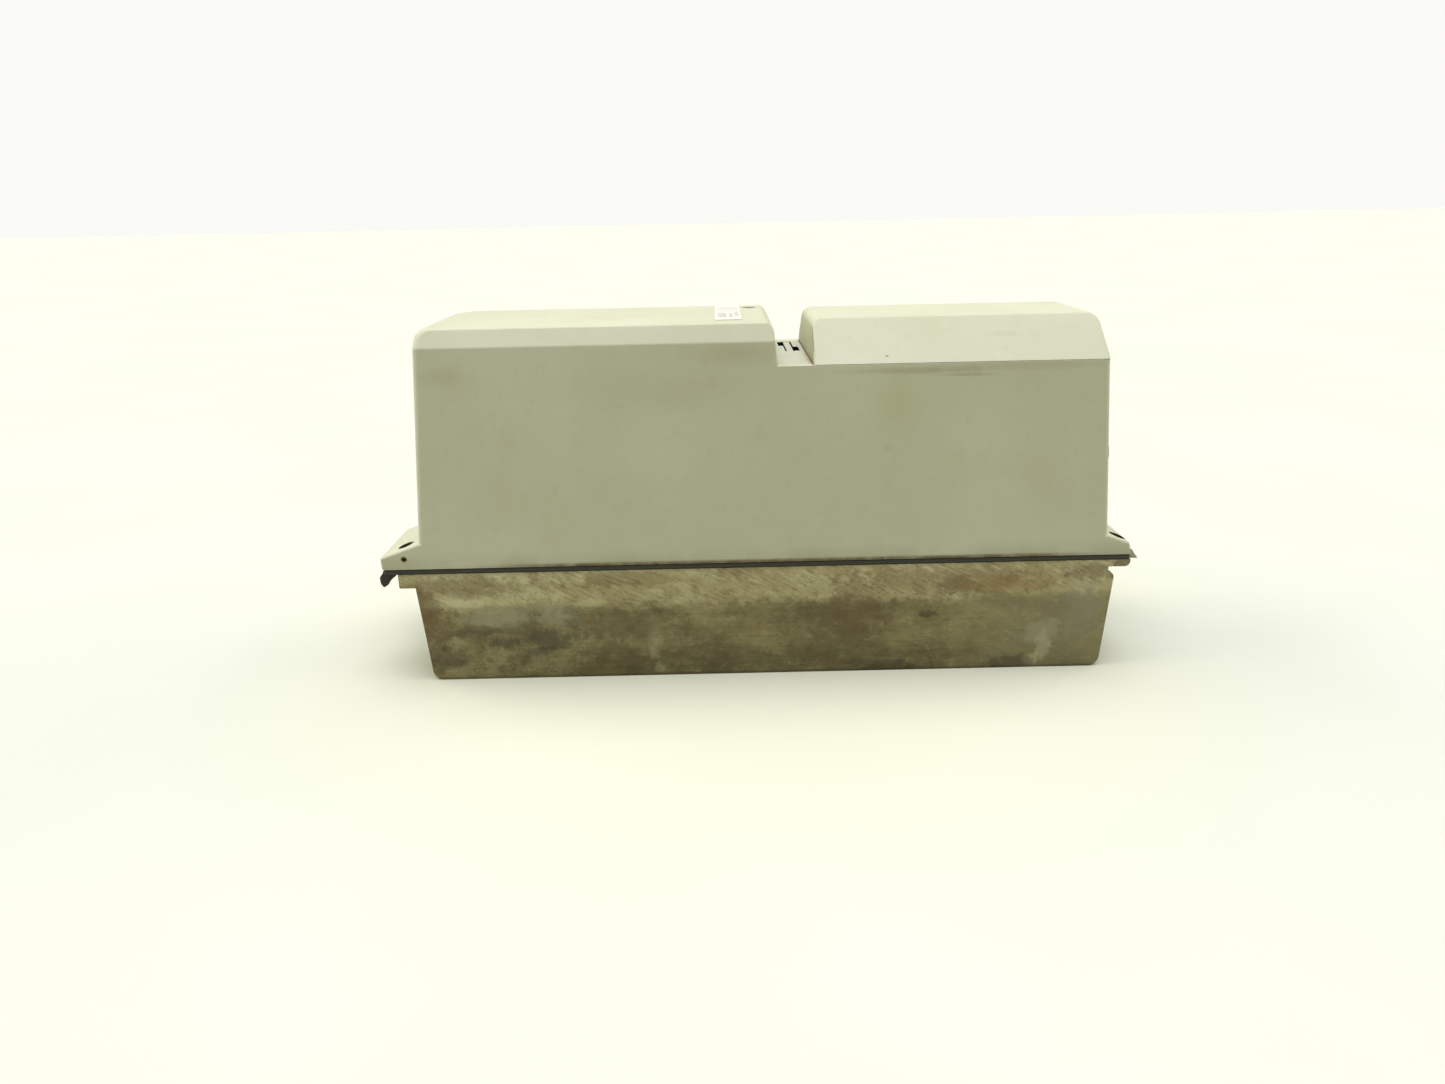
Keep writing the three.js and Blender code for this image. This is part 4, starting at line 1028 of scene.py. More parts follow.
def torn_flap():
    """The torn corner of the gasket: a broad leaf that hangs under the left lug."""
    corners = [(-168.6, 55.6, 0), (-168.7, 54.8, 0.3), (-170.6, 53.3, 1.2), (-172.3, 51.8, 1),
               (-173.6, 49.8, 0.6), (-175.6, 48.6, 0.6), (-177.0, 50.4, 0.8), (-177.3, 53.4, 1),
               (-175.6, 55.5, 0.8), (-175.4, 56.4, 0)]
    return curled_leaf("flap", rounded(corners, 4), 1.1, -HALF + 1.2, 0.9)


def lifted_scrap():
    """A torn scrap of gasket that stands up past the right lug."""
    corners = [(172.8, 55.4, 0), (178.5, 55.2, 0.25), (177.0, 57.0, 1.5), (174.9, 60.0, 0.2),
               (174.2, 57.2, 1), (172.8, 56.6, 0)]
    add_on(curled_leaf("gasket_scrap", rounded(corners, 3), 0.9, -HALF + 0.5, 0.0), gasket_worn)


# ---- Heatsink --------------------------------------------------------------------------------------------
def heatsink():
    """Finned base: plate and fins joined, hooks on the outer fins, fixing slots, every edge broken."""
    bottom, lip_under = PLATE_TOP - 6.8, PLATE_TOP - 3.4
    groove = bottom + 0.6
    left, right = sink_low.x, sink_high.x
    blank = [(left, bottom, 0.8), (right + 1, bottom, 0), (right + 1, PLATE_TOP, 0), (left, PLATE_TOP, 0)]
    under_lip = [(165, bottom - 1, 0), (right + 2, bottom - 1, 0), (right + 2, PLATE_TOP + 1, 0),
                 (right, PLATE_TOP + 1, 0), (right, lip_under, 2.4), (165, lip_under, 0)]
    hollow = drawn("under_lip", under_lip, -HALF - 1, HALF + 1, steps=6)
    plate = cut(drawn("plate", blank, -HALF, HALF), [hollow])
    foot = [(-160.9, bottom + 1, 0), (-157.1, 0, 4.8), (165, 0, 5.4)]
    hook = [(168.2, groove, 2.6), (165, groove, 0)]
    count, thickness = 9, 3.0
    pitch = (2 * HALF - thickness) / (count - 1)
    fins = []
    for i in range(count):
        outline = foot + (hook if i in (0, count - 1) else []) + [(165, bottom + 1, 0)]
        fins.append(drawn("fin", outline, -HALF + i * pitch, -HALF + i * pitch + thickness, steps=8))
    body = joined(plate, fins)
    slot_y = (LUG_GAP[1] - LUG_GAP[-1]) / 2
    slots = [slab("slot", x0, x1, slot_y - 3.5, slot_y + 3.5, 3.4, [(40, 0), (60, 0)], 6)
             for x0, x1 in ((left - 5, -162), (167.5, right + 5))]
    holes = [drill(x, y, SCREW_HOLE, 44, 60) for x, y in LUG_SCREWS]
    for node in ("module_screw_1", "module_screw_2", "earth_screw"):
        at = middle(node)
        holes.append(drill(at.x, at.y, SCREW_HOLE, PLATE_TOP - 6, 60))
    body = cut(body, [*slots, *holes])
    stand_for(bevelled(body, 0.4, 2, 40), aluminium, "heatsink", angle=28)


# ---- Inside: power board and its parts -------------------------------------------------------------------
PIN_TOP = 75.9
EAR_TOP = 59.6
CLAMP_TOP = 92.7
ON_POWER = span("power_terminals")[0].z
ON_CONTROL = span("processor")[0].z
POSTS = [middle(f"board_post_{i}") for i in range(1, 7)]
PILLARS = [middle(f"board_pillar_{i}") for i in range(1, 5)]
POLES = [middle(f"terminal_screw_{i}").y for i in range(1, 7)]
WELL_X = middle("terminal_screw_1").x


def hexagon(x, y, radius):
    turns = [k * math.pi / 3 for k in range(6)]
    return [(x + radius * math.sin(a), y + radius * math.cos(a)) for a in turns]


def hex_post(node):
    """A brass spacer with both ends chamfered."""
    low, high, at = place(node)
    rings = [(low.z, 2.4), (low.z + 0.5, 2.9), (high.z - 0.5, 2.9), (high.z, 2.4)]
    piece = stack(f"{node}_hex", [(z, hexagon(at.x, at.y, r)) for z, r in rings])
    stand_for(piece, brass, node, angle=20)


def board_screws(name, posts, board_top):
    """The screws that hold a board on its posts."""
    head_z = board_top - SEAT + 0.02
    screws = [screw_shape("screw", p.x, p.y, head_z, 2.8, 2.0, board_top - 1.5, 1.5) for p in posts]
    group(name, screws, zinc, angle=40)


def board_sheet(node, posts):
    """A circuit board with rounded corners and clearance holes."""
    low, high = span(node)
    edge = 0.15
    levels_up = [(low.z, edge), (low.z + edge, 0), (high.z - edge, 0), (high.z, edge)]
    sheet = slab(f"{node}_sheet", low.x, high.x, low.y, high.y, 2, levels_up, shrink=1)
    holes = [drill(post.x, post.y, 1.7, low.z - 1, high.z + 1) for post in posts]
    stand_for(cut(sheet, holes), board_green, node, angle=30)


def power_module():
    """The switching module: a flange with fixing ears, a raised case and a ribbed lid."""
    low, high, at = place("power_module")
    flange = slab("flange", low.x, high.x, low.y, high.y, 3, [(low.z, 0), (low.z + 4, 0)])
    leaning = [(low.z + 1, 0), (high.z - 1, 0.5)]
    case = slab("case", low.x + 13, high.x - 13, low.y + 1, high.y - 1, 2, leaning)
    top = slab("top", low.x + 16, high.x - 16, low.y + 4, high.y - 4, 1.5, [(high.z - 2, 0), (high.z, 0)])
    ears = [drill(middle(f"module_screw_{i}").x, 0, 2.8, low.z - 1, low.z + 6, 32) for i in (1, 2)]
    channels = [box("channel", x - 0.6, x + 0.6, low.y + 6, high.y - 6, high.z - 0.6, high.z + 1)
                for x in [at.x + d for d in (-24, -12, 0, 12, 24)]]
    body = cut(joined(flange, [case, top]), ears + channels)
    body.name = "power_module_case"
    stand_for(bevelled(body, 0.3, 2, 40), black_plastic, "power_module")
    pins = [block("pin", at.x + x, y, 0.6, 0.4, high.z - 3, PIN_TOP, 0.15, 1)
            for x in range(-34, 35, 4) for y in (-19.5, 19.5)]
    group("power_module_pins", pins, tinned)


def capacitor(i):
    """A snap-in electrolytic capacitor: crimped foot, shrunk sleeve and a scored pressure vent on top."""
    node = f"bus_capacitor_{i}"
    low, high, at = place(node)
    z, top = low.z, high.z
    foot = [(12, 0), (14.2, 0), (14.9, 0.6), (15, 2.6), (14.5, 3.3), (14.2, 4), (14.5, 4.7), (15, 5.4)]
    crown = [(15, 1.2), (14.6, 0.4), (13.9, 0), (12.9, 0), (12.4, 0.5), (6, 0.6), (0.5, 0.6)]
    profile = [(r, z + up) for r, up in foot] + [(r, top - down) for r, down in crown]
    can = turned(f"{node}_can", profile, (at.x, at.y, 0), sides=64)
    scores = []
    for k in range(3):
        score = box("score", 0, 8.5, -0.3, 0.3, top - 1, top + 1)
        spin = Matrix.Rotation(math.radians(90 + 120 * k), 4, "Z")
        score.data.transform(Matrix.Translation((at.x * MM, at.y * MM, 0)) @ spin)
        scores.append(score)
    stand_for(cut(can, scores), cap_sleeve, node)


def choke():
    """A toroidal choke: copper wire wound round a ring core that stands in a moulded cradle."""
    low, high, at = place("filter_choke")
    centre = Vector((at.x, at.y, high.z - 21.5))
    turns, steps, ring_radius, tube = 30, 14, 14, 6.35
    path = []
    for k in range(turns * steps):
        around, over = 2 * math.pi * k / (turns * steps), 2 * math.pi * k / steps
        reach = ring_radius + tube * math.cos(over)
        offset = Vector((tube * math.sin(over), reach * math.sin(around), reach * math.cos(around)))
        path.append(tuple(centre + offset))
    stand_for(swept("filter_choke_winding", path, 0.95, 8, looped=True), copper, "filter_choke", angle=60)

    section = rounded(rectangle(-4.9, 4.9, -4.9, 4.9, 1.6), 3)
    rings = []
    for k in range(48):
        a = 2 * math.pi * k / 48
        out = Vector((0, math.sin(a), math.cos(a)))
        rings.append([tuple(centre + Vector((u, 0, 0)) + out * (ring_radius + v)) for u, v in section])
    add_on(loft("filter_choke_core", rings, ring_shaped=True), ferrite, angle=40)
    cradle = block("filter_choke_cradle", at.x, at.y, 8, 17, low.z, low.z + 6, 0.8, 3)
    saddle = turned("saddle", [(21.9, -9), (21.9, 9)], tuple(centre), (1, 0, 0), 64)
    add_on(cut(cradle, [saddle]), black_plastic)


def relay():
    """The inrush relay: a can on a narrower foot, with a vent hole and a shallow hollow on top."""
    low, high, at = place("inrush_relay")
    can = over_plan("inrush_relay_case", low, high, low.z + 0.8, high.z, 0.7, 3)
    foot = box("foot", low.x + 0.3, high.x - 0.3, low.y + 0.3, high.y - 0.3, low.z, low.z + 2)
    vent = drill(low.x + 3, low.y + 3, 1.1, high.z - 0.6, high.z + 1, 20)
    ridge = box("ridge", at.x - 2.2, at.x + 2.2, low.y + 6, high.y - 6, high.z - 0.4, high.z + 1)
    stand_for(cut(joined(can, [foot]), [vent, ridge]), blue_plastic, "inrush_relay")


def current_sensor(i):
    """A current sensor with a tinned bar bent down at both ends of its window."""
    node = f"current_sensor_{i}"
    low, high, at = place(node)
    body = over_plan(f"{node}_body", low, high, low.z, high.z)
    window = box("window", low.x - 1, high.x + 1, at.y - 4, at.y + 4, low.z + 8, low.z + 16)
    step = box("step", low.x - 1, low.x + 1, low.y - 1, high.y + 1, high.z - 4, high.z + 1)
    stand_for(bevelled(cut(body, [window, step]), 0.5, 3, 40), black_plastic, node)
    z, far_x = low.z, high.x + 4.5
    outline = [(low.x - 4.5, z, 0), (low.x - 3, z, 0), (low.x - 3, z + 11, 0.6), (far_x - 1.5, z + 11, 0.6),
               (far_x - 1.5, z, 0), (far_x, z, 0), (far_x, z + 12.5, 1.8), (low.x - 4.5, z + 12.5, 1.8)]
    add_on(drawn(f"{node}_bar", outline, at.y - 3, at.y + 3, 0.2), tinned)


def power_terminals():
    """A six-pole terminal block: stepped top, screw wells, wire entries and a wall between the poles."""
    low, high = span("power_terminals")
    z = low.z
    body = over_plan("power_terminals_block", low, high, z, high.z)
    tools = [box("ledge", high.x - 6, high.x + 1, low.y - 1, high.y + 1, z + 14, high.z + 1)]
    opening = [(3.6, high.z - 8), (3.6, high.z - 0.5), (4.0, high.z), (4.0, high.z + 1)]
    for y in POLES:
        tools.append(turned("well", opening, (WELL_X, y, 0), sides=32))
        outline = rounded(rectangle(y - 3.2, y + 3.2, z + 3, z + 11, 1.2), 4)
        entry = [[(x, py, pz) for py, pz in outline] for x in (high.x - 9, high.x + 1)]
        tools.append(loft("wire_entry", entry))
    for y in [(a + b) / 2 for a, b in zip(POLES, POLES[1:])]:
        tools.append(box("gap", low.x - 1, high.x - 7.5, y - 0.5, y + 0.5, high.z - 2.5, high.z + 1))
        tools.append(box("gap", high.x - 0.8, high.x + 1, y - 0.5, y + 0.5, z + 1, z + 15))
    stand_for(bevelled(cut(body, tools), 0.25, 2, 40), terminal_green, "power_terminals")
    cages = []
    for y in POLES:
        cage = box("cage", WELL_X + 4.3, high.x - 2.5, y - 2.9, y + 2.9, z + 3.3, z + 10.7)
        mouth = box("mouth", WELL_X + 4, high.x - 1, y - 2.1, y + 2.1, z + 4.1, z + 9.9)
        cages.append(bevelled(cut(cage, [mouth]), 0.12, 1, 40))
    group("power_terminals_cages", cages, zinc)


def header(node, opening_up):
    """A header: a housing with a slit for the cable and two key notches."""
    low, high, at = place(node)
    body = over_plan(f"{node}_housing", low, high, low.z, high.z)
    z0, z1 = (low.z + 4, high.z + 1) if opening_up else (low.z - 1, high.z - 4)
    slit = block("slit", at.x + 0.5, 0, 1.2, 13.5, z0, z1)
    keys = [block("key", low.x, y, 1, 2, z0, z1) for y in (-9, 9)]
    stand_for(bevelled(cut(body, [slit, *keys]), 0.3, 2, 40), white_plastic, node)


def ribbon():
    """A flat cable moulded round twenty conductors, bent between the two headers."""
    low, high = span("ribbon_cable")
    wires, steps, per_wire = 20, 18, 6
    start_x, bow, half = 44.5, 8, 13.0
    rise = high.z - low.z
    face = []
    for j in range(wires * per_wire + 1):
        swell = 0.26 + 0.22 * abs(math.sin(math.pi * j / per_wire))
        face.append((2 * half / wires * j / per_wire - half, swell))
    rings = []
    for k in range(steps + 1):
        t = k / steps
        x, z = start_x + bow * math.sin(math.pi * t) ** 2, low.z + rise * t
        out = Vector((1, 0, -bow * math.pi * math.sin(2 * math.pi * t) / rise)).normalized()
        ring = [tuple(Vector((x, y, z)) + out * s) for y, s in face]
        rings.append(ring + [tuple(Vector((x, y, z)) - out * s) for y, s in reversed(face)])
    stand_for(loft("ribbon_cable_sheath", rings), ribbon_grey, "ribbon_cable", angle=50)


def small_can(x, y, z, r, height):
    """A little electrolytic capacitor."""
    top = z + height
    profile = [(0.5, z), (r - 0.3, z), (r, z + 0.4), (r, z + 1.4), (r - 0.35, z + 1.9), (r, z + 2.4),
               (r, top - 0.5), (r - 0.4, top), (r - 0.9, top), (r - 1.2, top - 0.3), (0.4, top - 0.3)]
    return turned("can", profile, (x, y, 0), sides=32)


def film_capacitor(x, y, z, length, width, height):
    body = block("film", x, y, length / 2, width / 2, z, z + height)
    feet = [block("foot", x, y, length, width / 2 - 1, z - 1, z + 0.5)]
    return bevelled(cut(body, feet), 0.6, 2, 40)


def resistor(x, y, z, length, radius):
    """A carbon resistor that lies on its bent leads."""
    half = [(radius * 0.86, 0.24), (radius, 0.3), (radius, 0.42), (radius * 0.9, 0.5), (0.3, 0.5)]
    profile = [(r, -length * u) for r, u in half[::-1]] + [(r, length * u) for r, u in half]
    return turned("resistor", profile, (x, y, z + radius + 0.6), (0, 1, 0), 20)


def bent_lead(x, y, z, length, radius):
    """The wire of a lying part: down to the board at both ends."""
    reach, rise = length / 2 + 2.2, radius + 0.6
    corners = [(-reach, 0, 0), (-reach, rise, 0.9), (reach, rise, 0.9), (reach, 0, 0)]
    path = [(x, y + u, z + v) for u, v in rounded(corners, 4, closed=False)]
    return swept("lead", path, 0.35, 8)


def transformer(x, y, z):
    """The supply's transformer: a taped winding inside a ferrite core, on a bobbin."""
    core = block("transformer_core", x, y, 11, 6, z + 2, z + 20)
    gaps = [box("gap", x - 7.5, x + 7.5, y + a, y + b, z + 5, z + 17) for a, b in ((-7, -3.8), (3.8, 7))]
    add_on(bevelled(cut(core, gaps), 0.4, 2, 40), ferrite)
    coil = stack("transformer_winding", [
        (z + 5.2 + h, rounded(rectangle(x - 7.2, x + 7.2, y - 10 - d, y + 10 + d, 3), 6))
        for h, d in ((0, -0.4), (0.5, 0), (11, 0), (11.5, -0.4))
    ])
    add_on(cut(coil, [block("window", x, y, 8, 6.05, z + 4, z + 18)]), film_yellow)
    add_on(block("transformer_bobbin", x, y, 9, 11, z, z + 1.9, 0.4), black_plastic)


def power_board_parts():
    z = ON_POWER
    transformer(98, 0, z)
    films = [film_capacitor(64, y, z, 18, 7, 13) for y in (-30, -20)]
    films.append(film_capacitor(-10, -27, z, 18, 8, 14))
    group("film_capacitors", films, film_yellow)
    cans = [small_can(x, y, z, 5, 14) for x, y in ((60, 24), (73, 24), (-64, 31), (30, 31))]
    group("small_capacitors", cans, blue_plastic)
    places = [(x, y) for x in (82, 86.5, 108) for y in (-28, 27)] + [(-36, -29), (-42, -29), (-70, -30)]
    group("resistors", [resistor(x, y, z, 9, 1.6) for x, y in places], beige_lacquer)
    group("resistor_leads", [bent_lead(x, y, z, 9, 1.6) for x, y in places], tinned)
    disc_x, disc_places = 113, (-20, 0, 20)
    profile = [(0.5, -2.2), (4.5, -2.1), (6.6, -1.2), (7.0, 0), (6.6, 1.2), (4.5, 2.1), (0.5, 2.2)]
    discs = [turned("disc", profile, (disc_x, y, z + 9), (1, 0, 0), 40) for y in disc_places]
    group("surge_discs", discs, blue_plastic)
    feet = [y + s for y in disc_places for s in (-3.5, 3.5)]
    legs = [swept("leg", [(disc_x, y, z), (disc_x, y, z + 4)], 0.4, 8) for y in feet]
    group("surge_disc_legs", legs, tinned)
    board_screws("power_board_screws", POSTS, z)


# ---- Inside: control board and its parts -----------------------------------------------------------------
def lead(at, outward, height):
    """A gull-wing lead that leaves a chip at a height and stands on the board."""
    side, out = Vector((-outward[1], outward[0], 0)), Vector((*outward, 0))
    h, thick = height, 0.16
    outline = [(-0.2, h), (0.6, h), (0.85, thick), (1.5, thick), (1.5, 0), (0.7, 0), (0.45, h - thick),
               (-0.2, h - thick)]
    path = [Vector(at) + out * u + Vector((0, 0, v)) for u, v in outline]
    return loft("lead", [[tuple(p + side * half) for p in path] for half in (-0.17, 0.17)])


def chip_body(name, x, y, z, length, width, height):
    """A moulded chip: sides that lean in from its parting line, and a dimple at the first lead."""
    a, b = length / 2, width / 2
    foot = z + 0.15
    levels_up = [(foot, 0.25), (foot + height * 0.45, 0), (foot + (height - 0.15), 0.3)]
    body = slab(name, x - a, x + a, y - b, y + b, 0, levels_up)
    dimple = turned("dimple", [(0.2, z + height - 0.2), (0.8, z + height), (0.8, z + height + 1)],
                    (x - a + 2, y - b + 2, 0), sides=24)
    return cut(body, [dimple])


def chip_leads(x, y, z, length, width, height, pitch, four_sided):
    a, b = length / 2, width / 2
    leads, rise = [], height * 0.5
    count = int((length - 2) / pitch)
    spots = [(k - (count - 1) / 2) * pitch for k in range(count)]
    for s in spots:
        leads += [lead((x + s, y - b, z), (0, -1), rise), lead((x + s, y + b, z), (0, 1), rise)]
        if four_sided:
            leads += [lead((x - a, y + s, z), (-1, 0), rise), lead((x + a, y + s, z), (1, 0), rise)]
    return leads


def control_terminals():
    """A ten-pole control terminal block with screw wells above and wire entries in its side."""
    low, high = span("control_terminals")
    z, count = low.z, 10
    pitch = (high.y - low.y) / count
    body = over_plan("control_terminals_block", low, high, z, high.z)
    tools = [box("step", high.x - 3.2, high.x + 1, low.y - 1, high.y + 1, z + 7.5, high.z + 1)]
    screws = []
    for k in range(count):
        y = low.y + (k + 0.5) * pitch
        tools.append(drill(low.x + 3.4, y, 1.7, z + 8, high.z + 1))
        tools.append(box("entry", high.x - 4, high.x + 1, y - 1.5, y + 1.5, z + 2, z + 6))
        screws.append(screw_shape("screw", low.x + 3.4, y, z + 8.05, 1.5, 1.4, z + 7.6, 0.8))
        if k:
            seam = y - pitch / 2
            tools.append(box("gap", low.x - 1, high.x + 1, seam - 0.2, seam + 0.2, high.z - 1, high.z + 1))
    stand_for(bevelled(cut(body, tools), 0.15, 1, 40), terminal_green, "control_terminals")
    group("control_terminals_screws", screws, zinc, angle=40)


def trimmer():
    """The trimmer: its square body on four feet, and its slotted rotor with an arrow."""
    low, high, at = place("trimmer_body")
    body = over_plan("trimmer_body_case", low, high, low.z + 0.4, high.z)
    feet = [box("foot", low.x + a, low.x + a + 2, low.y + b, low.y + b + 2, low.z, low.z + 1)
            for a in (0.3, 7.7) for b in (0.3, 7.7)]
    recess = drill(at.x, at.y, 3.7, high.z - 0.35, high.z + 1, 40)
    stand_for(bevelled(cut(joined(body, feet), [recess]), 0.25, 2, 40), blue_plastic, "trimmer_body")
    low, high = span("trimmer_rotor")
    z, top = low.z, high.z
    profile = [(3.0, z), (3.4, z + 0.3), (3.4, top - 0.4), (3.1, top - 0.1), (2.6, top), (0.3, top)]
    rotor = turned("trimmer_rotor_knob", profile, (at.x, at.y, 0), sides=48)
    slot = block("slot", at.x, at.y, 2.7, 0.55, top - 1, top + 1)
    arrow = stack("arrow", [(h, [(at.x + 3.2, at.y), (at.x + 2, at.y + 1.1), (at.x + 2, at.y - 1.1)])
                            for h in (top - 0.5, top + 1)])
    stand_for(cut(rotor, [slot, arrow]), white_plastic, "trimmer_rotor")


def status_led():
    low, high, at = place("status_led")
    z, top = low.z, high.z
    profile = [(2.1, z), (2.2, z + 0.5), (2.0, z + 0.6), (2.0, top - 1.6), (1.7, top - 0.8),
               (1.1, top - 0.25), (0.3, top)]
    dome = turned("status_led_dome", profile, (at.x, at.y, 0), sides=32)
    stand_for(dome, lens_dark, "status_led", angle=50)


def mode_jumper():
    """The jumper's cap on its pin strip."""
    low, high, at = place("mode_jumper")
    cap = over_plan("mode_jumper_cap", low, high, low.z + 2.6, high.z)
    x0, x1 = low.x + 1.2, high.x - 1.2
    grips = [box("grip", x0, x1, y - 0.3, y + 0.3, high.z - 2, high.z + 1) for y in (low.y, high.y)]
    stand_for(bevelled(cut(cap, grips), 0.25, 2, 40), black_plastic, "mode_jumper")
    strip = box("jumper_strip", low.x - 2.6, high.x, low.y, high.y, low.z, low.z + 2.5, 0.3)
    add_on(strip, black_plastic)
    pin = block("pin", low.x - 1.27, at.y, 0.3, 0.3, low.z - 1, low.z + 8.4, 0.12, 1)
    group("jumper_pins", [pin], tinned)


def control_board_parts():
    z = ON_CONTROL
    at = middle("processor")
    size = (at.x, at.y, z, 20, 20, 2.4)
    stand_for(chip_body("processor_body", *size), black_plastic, "processor", angle=20)
    leads = chip_leads(*size, 0.9, True)
    bodies = []
    for x, y, length, width in ((-8, -10, 10, 4), (-8, -20, 10, 4), (46, -22, 10, 4), (30, -22, 12, 7)):
        size = (x, y, z, length, width, 1.8)
        bodies.append(chip_body("chip", *size))
        leads += chip_leads(*size, 1.27, False)
    group("chips", bodies, black_plastic, angle=20)
    group("chip_leads", leads, tinned)
    spread = random.Random(5)
    ceramics, ends = [], []
    for row in (-31.5, -27.5, 19.5, 31.5):
        for k in range(11):
            x = -14 + 7.4 * k + spread.uniform(-1, 1)
            y = row + spread.uniform(-0.5, 0.5)
            by_pipe, by_pillar = math.hypot(x, y - PIPE_Y) < 7, math.hypot(x + 14, abs(y) - 28) < 6
            if by_pipe or by_pillar or x > 72 or (x > 54 and 10 < y < 26):
                continue
            ceramics.append(block("ceramic", x, y, 0.65, 0.62, z, z + 0.6, 0.08, 1))
            ends += [block("end", x + s, y, 0.3, 0.65, z, z + 0.65, 0.1, 1) for s in (-0.9, 0.9)]
    group("surface_parts", ceramics, ferrite)
    group("surface_part_ends", ends, tinned)
    can = [(z + h, d) for h, d in ((0, 0), (0.5, 0), (0.6, 0.3), (3.1, 0.3), (3.5, 0.7))]
    add_on(slab("crystal", 38, 49, 4, 8.6, 2.2, can, 6, 1), zinc, angle=40)
    cans = [small_can(x, y, z, 3.2, 6.5) for x, y in ((40, 16), (48, 16), (40, -8), (66, -6))]
    group("control_capacitors", cans, black_plastic)
    board_screws("control_board_screws", PILLARS, z)


def entry_nut(i):
    """A moulded hexagon nut inside the end wall, its corners chamfered."""
    y = ENTRIES[i - 1]
    z0, z1 = -WALL - 0.3 - 5, -WALL - 0.3
    outer, slim = 11.6, 10.9
    rings = [circle(r, 6, z) for r, z in ((slim, z0), (outer, z0 + 0.8), (outer, z1))]
    nut = loft(f"entry_nut_hex_{i}", rings)
    nut.data.transform(entry_frame(y))
    bore = on_end_wall("bore", [(ENTRY_BORE, z0 - 1), (ENTRY_BORE, z1 + 1)], y)
    stand_for(bevelled(cut(nut, [bore]), 0.2, 1, 30), plug_plastic, f"entry_nut_{i}")


for build in (cover, lid, tongue, label, light_pipe, heatsink, gasket, lifted_scrap, lid_seal):
    build()
for i in (1, 2, 3, 4):
    cross_screw(f"cover_screw_head_{i}", f"cover_screw_{i}", rusty, 3.2, 2.6, SCREW_SEAT, 2)
for i in (1, 2, 3):
    entry_plug(i)
    entry_nut(i)
power_module()
for i in (1, 2):
    cross_screw(f"module_screw_head_{i}", f"module_screw_{i}", zinc, 4, 3, EAR_TOP, 2.1)
    current_sensor(i)
cross_screw("earth_screw_head", "earth_screw", brass, 5, 3.5, PLATE_TOP + SEAT, 2.1)
for i in range(1, 7):
    hex_post(f"board_post_{i}")
    cross_screw(f"terminal_screw_head_{i}", f"terminal_screw_{i}", zinc, 3.2, 2.4, CLAMP_TOP, 1.5)
for i in range(1, 5):
    hex_post(f"board_pillar_{i}")
    capacitor(i)
board_sheet("power_board", POSTS)
board_sheet("control_board", PILLARS)
for build in (choke, relay, power_terminals):
    build()
header("lower_header", True)
header("upper_header", False)
for build in (ribbon, power_board_parts, control_terminals, trimmer, status_led, mode_jumper):
    build()
control_board_parts()
coat(frame["nodes"]["thermal_pad"], pad_grey)


# ---- Floor, light and camera -----------------------------------------------------------------------------
ROOM_LIGHT, ROOM_TINT = 0.15, (1.0, 1.0, 0.4, 1.0)


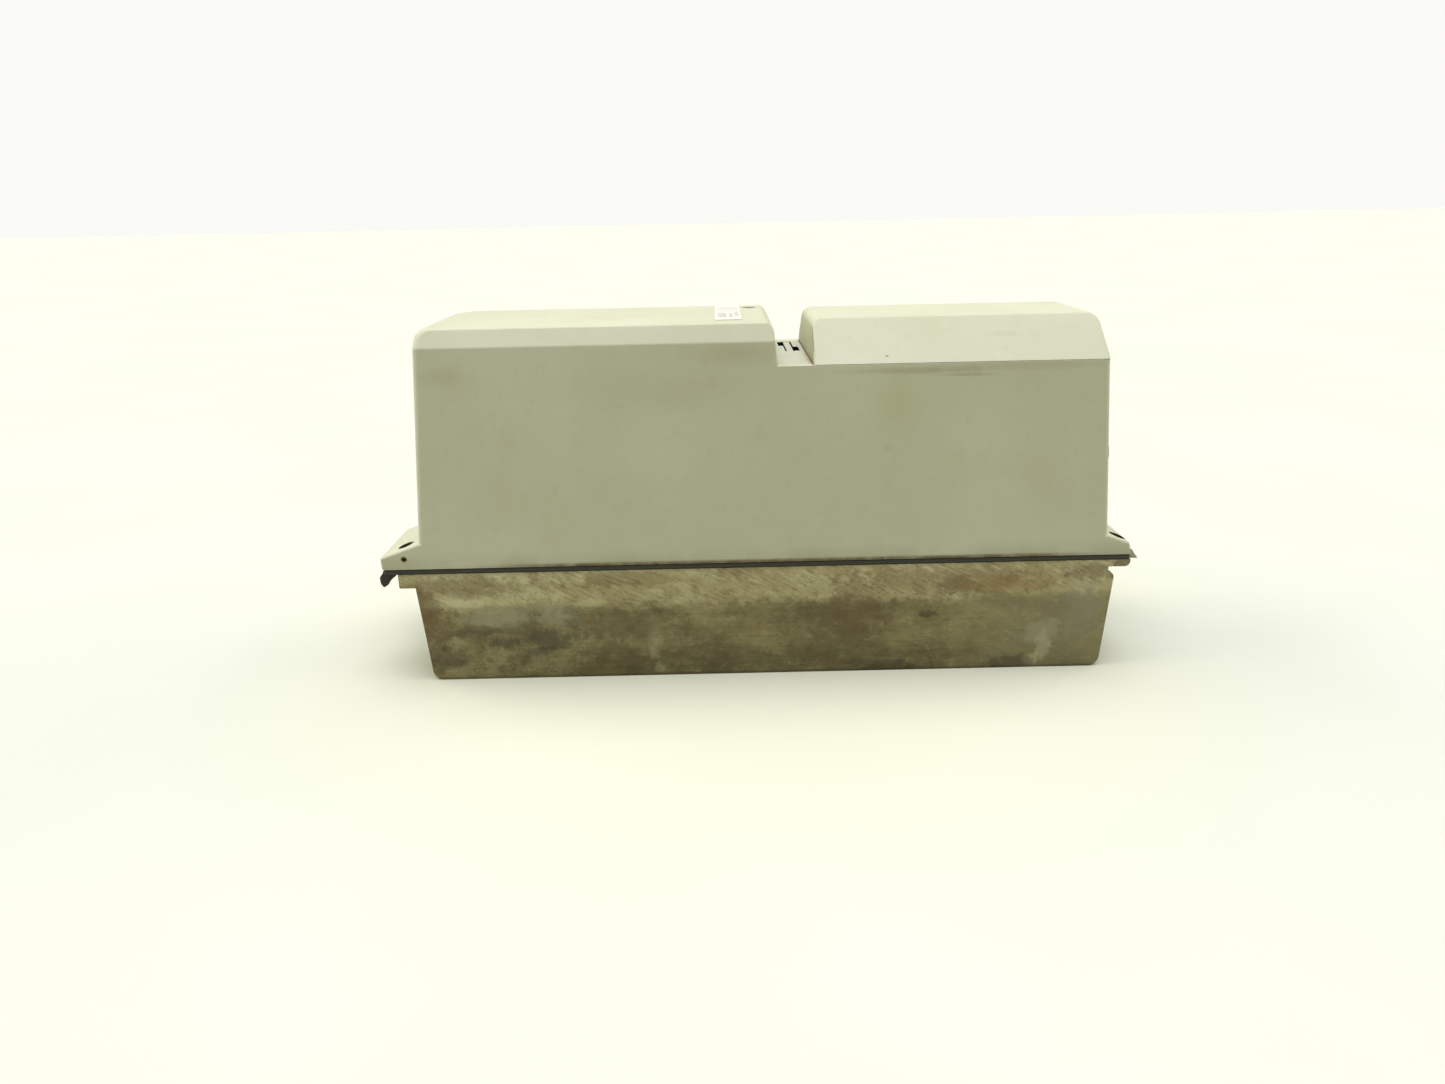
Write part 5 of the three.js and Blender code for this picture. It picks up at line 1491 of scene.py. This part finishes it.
def surroundings():
    """A plain pale floor with a painted yellow tint of bounce light and shadow near the drive, in a bright
    even room.
    """
    p = Paint("floor", roughness=0.9, Specular_IOR_Level=0.0)
    shade = p.mix(p.ramp(p.noise(240, 3), 0.3, 0.7), linear(188, 189, 176), linear(191, 192, 180))
    # painted bounce light and shadow: the floor turns yellower near the drive
    reach = p.vector("LENGTH", p.vector("MULTIPLY", p.place, (0.8, 1, 0)))
    shade = p.mix(p.ramp(reach, 270, 90), shade, linear(190, 191, 170))
    p.finish(shade)
    floor = new_object("floor", [(-9000, -9000, 0), (9000, -9000, 0), (9000, 9000, 0), (-9000, 9000, 0)],
                       [(0, 1, 2, 3)])
    floor.data.materials.append(p.material)

    world = bpy.data.worlds.new("room")
    world.use_nodes = True
    nodes, links = world.node_tree.nodes, world.node_tree.links
    seen, lit = nodes["Background"], nodes.new("ShaderNodeBackground")
    seen.inputs["Color"].default_value = linear(250, 250, 246)
    seen.inputs["Strength"].default_value = 1.0
    lit.inputs["Color"].default_value = ROOM_TINT
    lit.inputs["Strength"].default_value = ROOM_LIGHT
    which, rays = nodes.new("ShaderNodeMixShader"), nodes.new("ShaderNodeLightPath")
    links.new(rays.outputs["Is Camera Ray"], which.inputs["Fac"])
    links.new(lit.outputs[0], which.inputs[1])
    links.new(seen.outputs[0], which.inputs[2])
    links.new(which.outputs[0], nodes["World Output"].inputs["Surface"])
    bpy.context.scene.world = world


def soft_light(name, power, spread, towards_camera, towards_left, tint):
    """A broad light that covers the whole floor evenly; its two leans from straight above are in degrees."""
    lamp = bpy.data.lights.new(name, "SUN")
    lamp.energy, lamp.angle = power * math.pi, math.radians(spread)
    lamp.color = tint
    holder = bpy.data.objects.new(name, lamp)
    holder.rotation_euler = (math.radians(towards_camera), math.radians(-towards_left), 0)
    bpy.context.scene.collection.objects.link(holder)


def camera():
    place = Vector((-0.016966, -0.477652, 0.218366))
    down, roll, turn = 0.3364, -0.021, 0.0021
    up = Vector((0, 0, 1))
    ahead = Vector((math.sin(turn), math.cos(turn), 0))
    right = Vector((math.cos(turn), -math.sin(turn), 0))
    look = ahead * math.cos(down) - up * math.sin(down)
    over = up * math.cos(down) + ahead * math.sin(down)
    side = right * math.cos(roll) + over * math.sin(roll)
    head = over * math.cos(roll) - right * math.sin(roll)
    data = bpy.data.cameras.new("camera")
    data.lens, data.sensor_width = 24.50, 36.0
    data.clip_start, data.clip_end = 0.01, 60
    eye = bpy.data.objects.new("camera", data)
    eye.matrix_world = Matrix.Translation(place) @ Matrix((side, head, -look)).transposed().to_4x4()
    bpy.context.scene.collection.objects.link(eye)
    bpy.context.scene.camera = eye


surroundings()
soft_light("overhead", 1.31, 52, 2, 0, (0.95, 0.96, 1.12))
soft_light("from_the_left", 0.76, 60, -11, 62, (1.0, 0.99, 0.82))
soft_light("from_the_right", 0.46, 60, -11, -62, (1.0, 0.99, 0.82))
camera()
bpy.context.scene.view_settings.view_transform = "Standard"
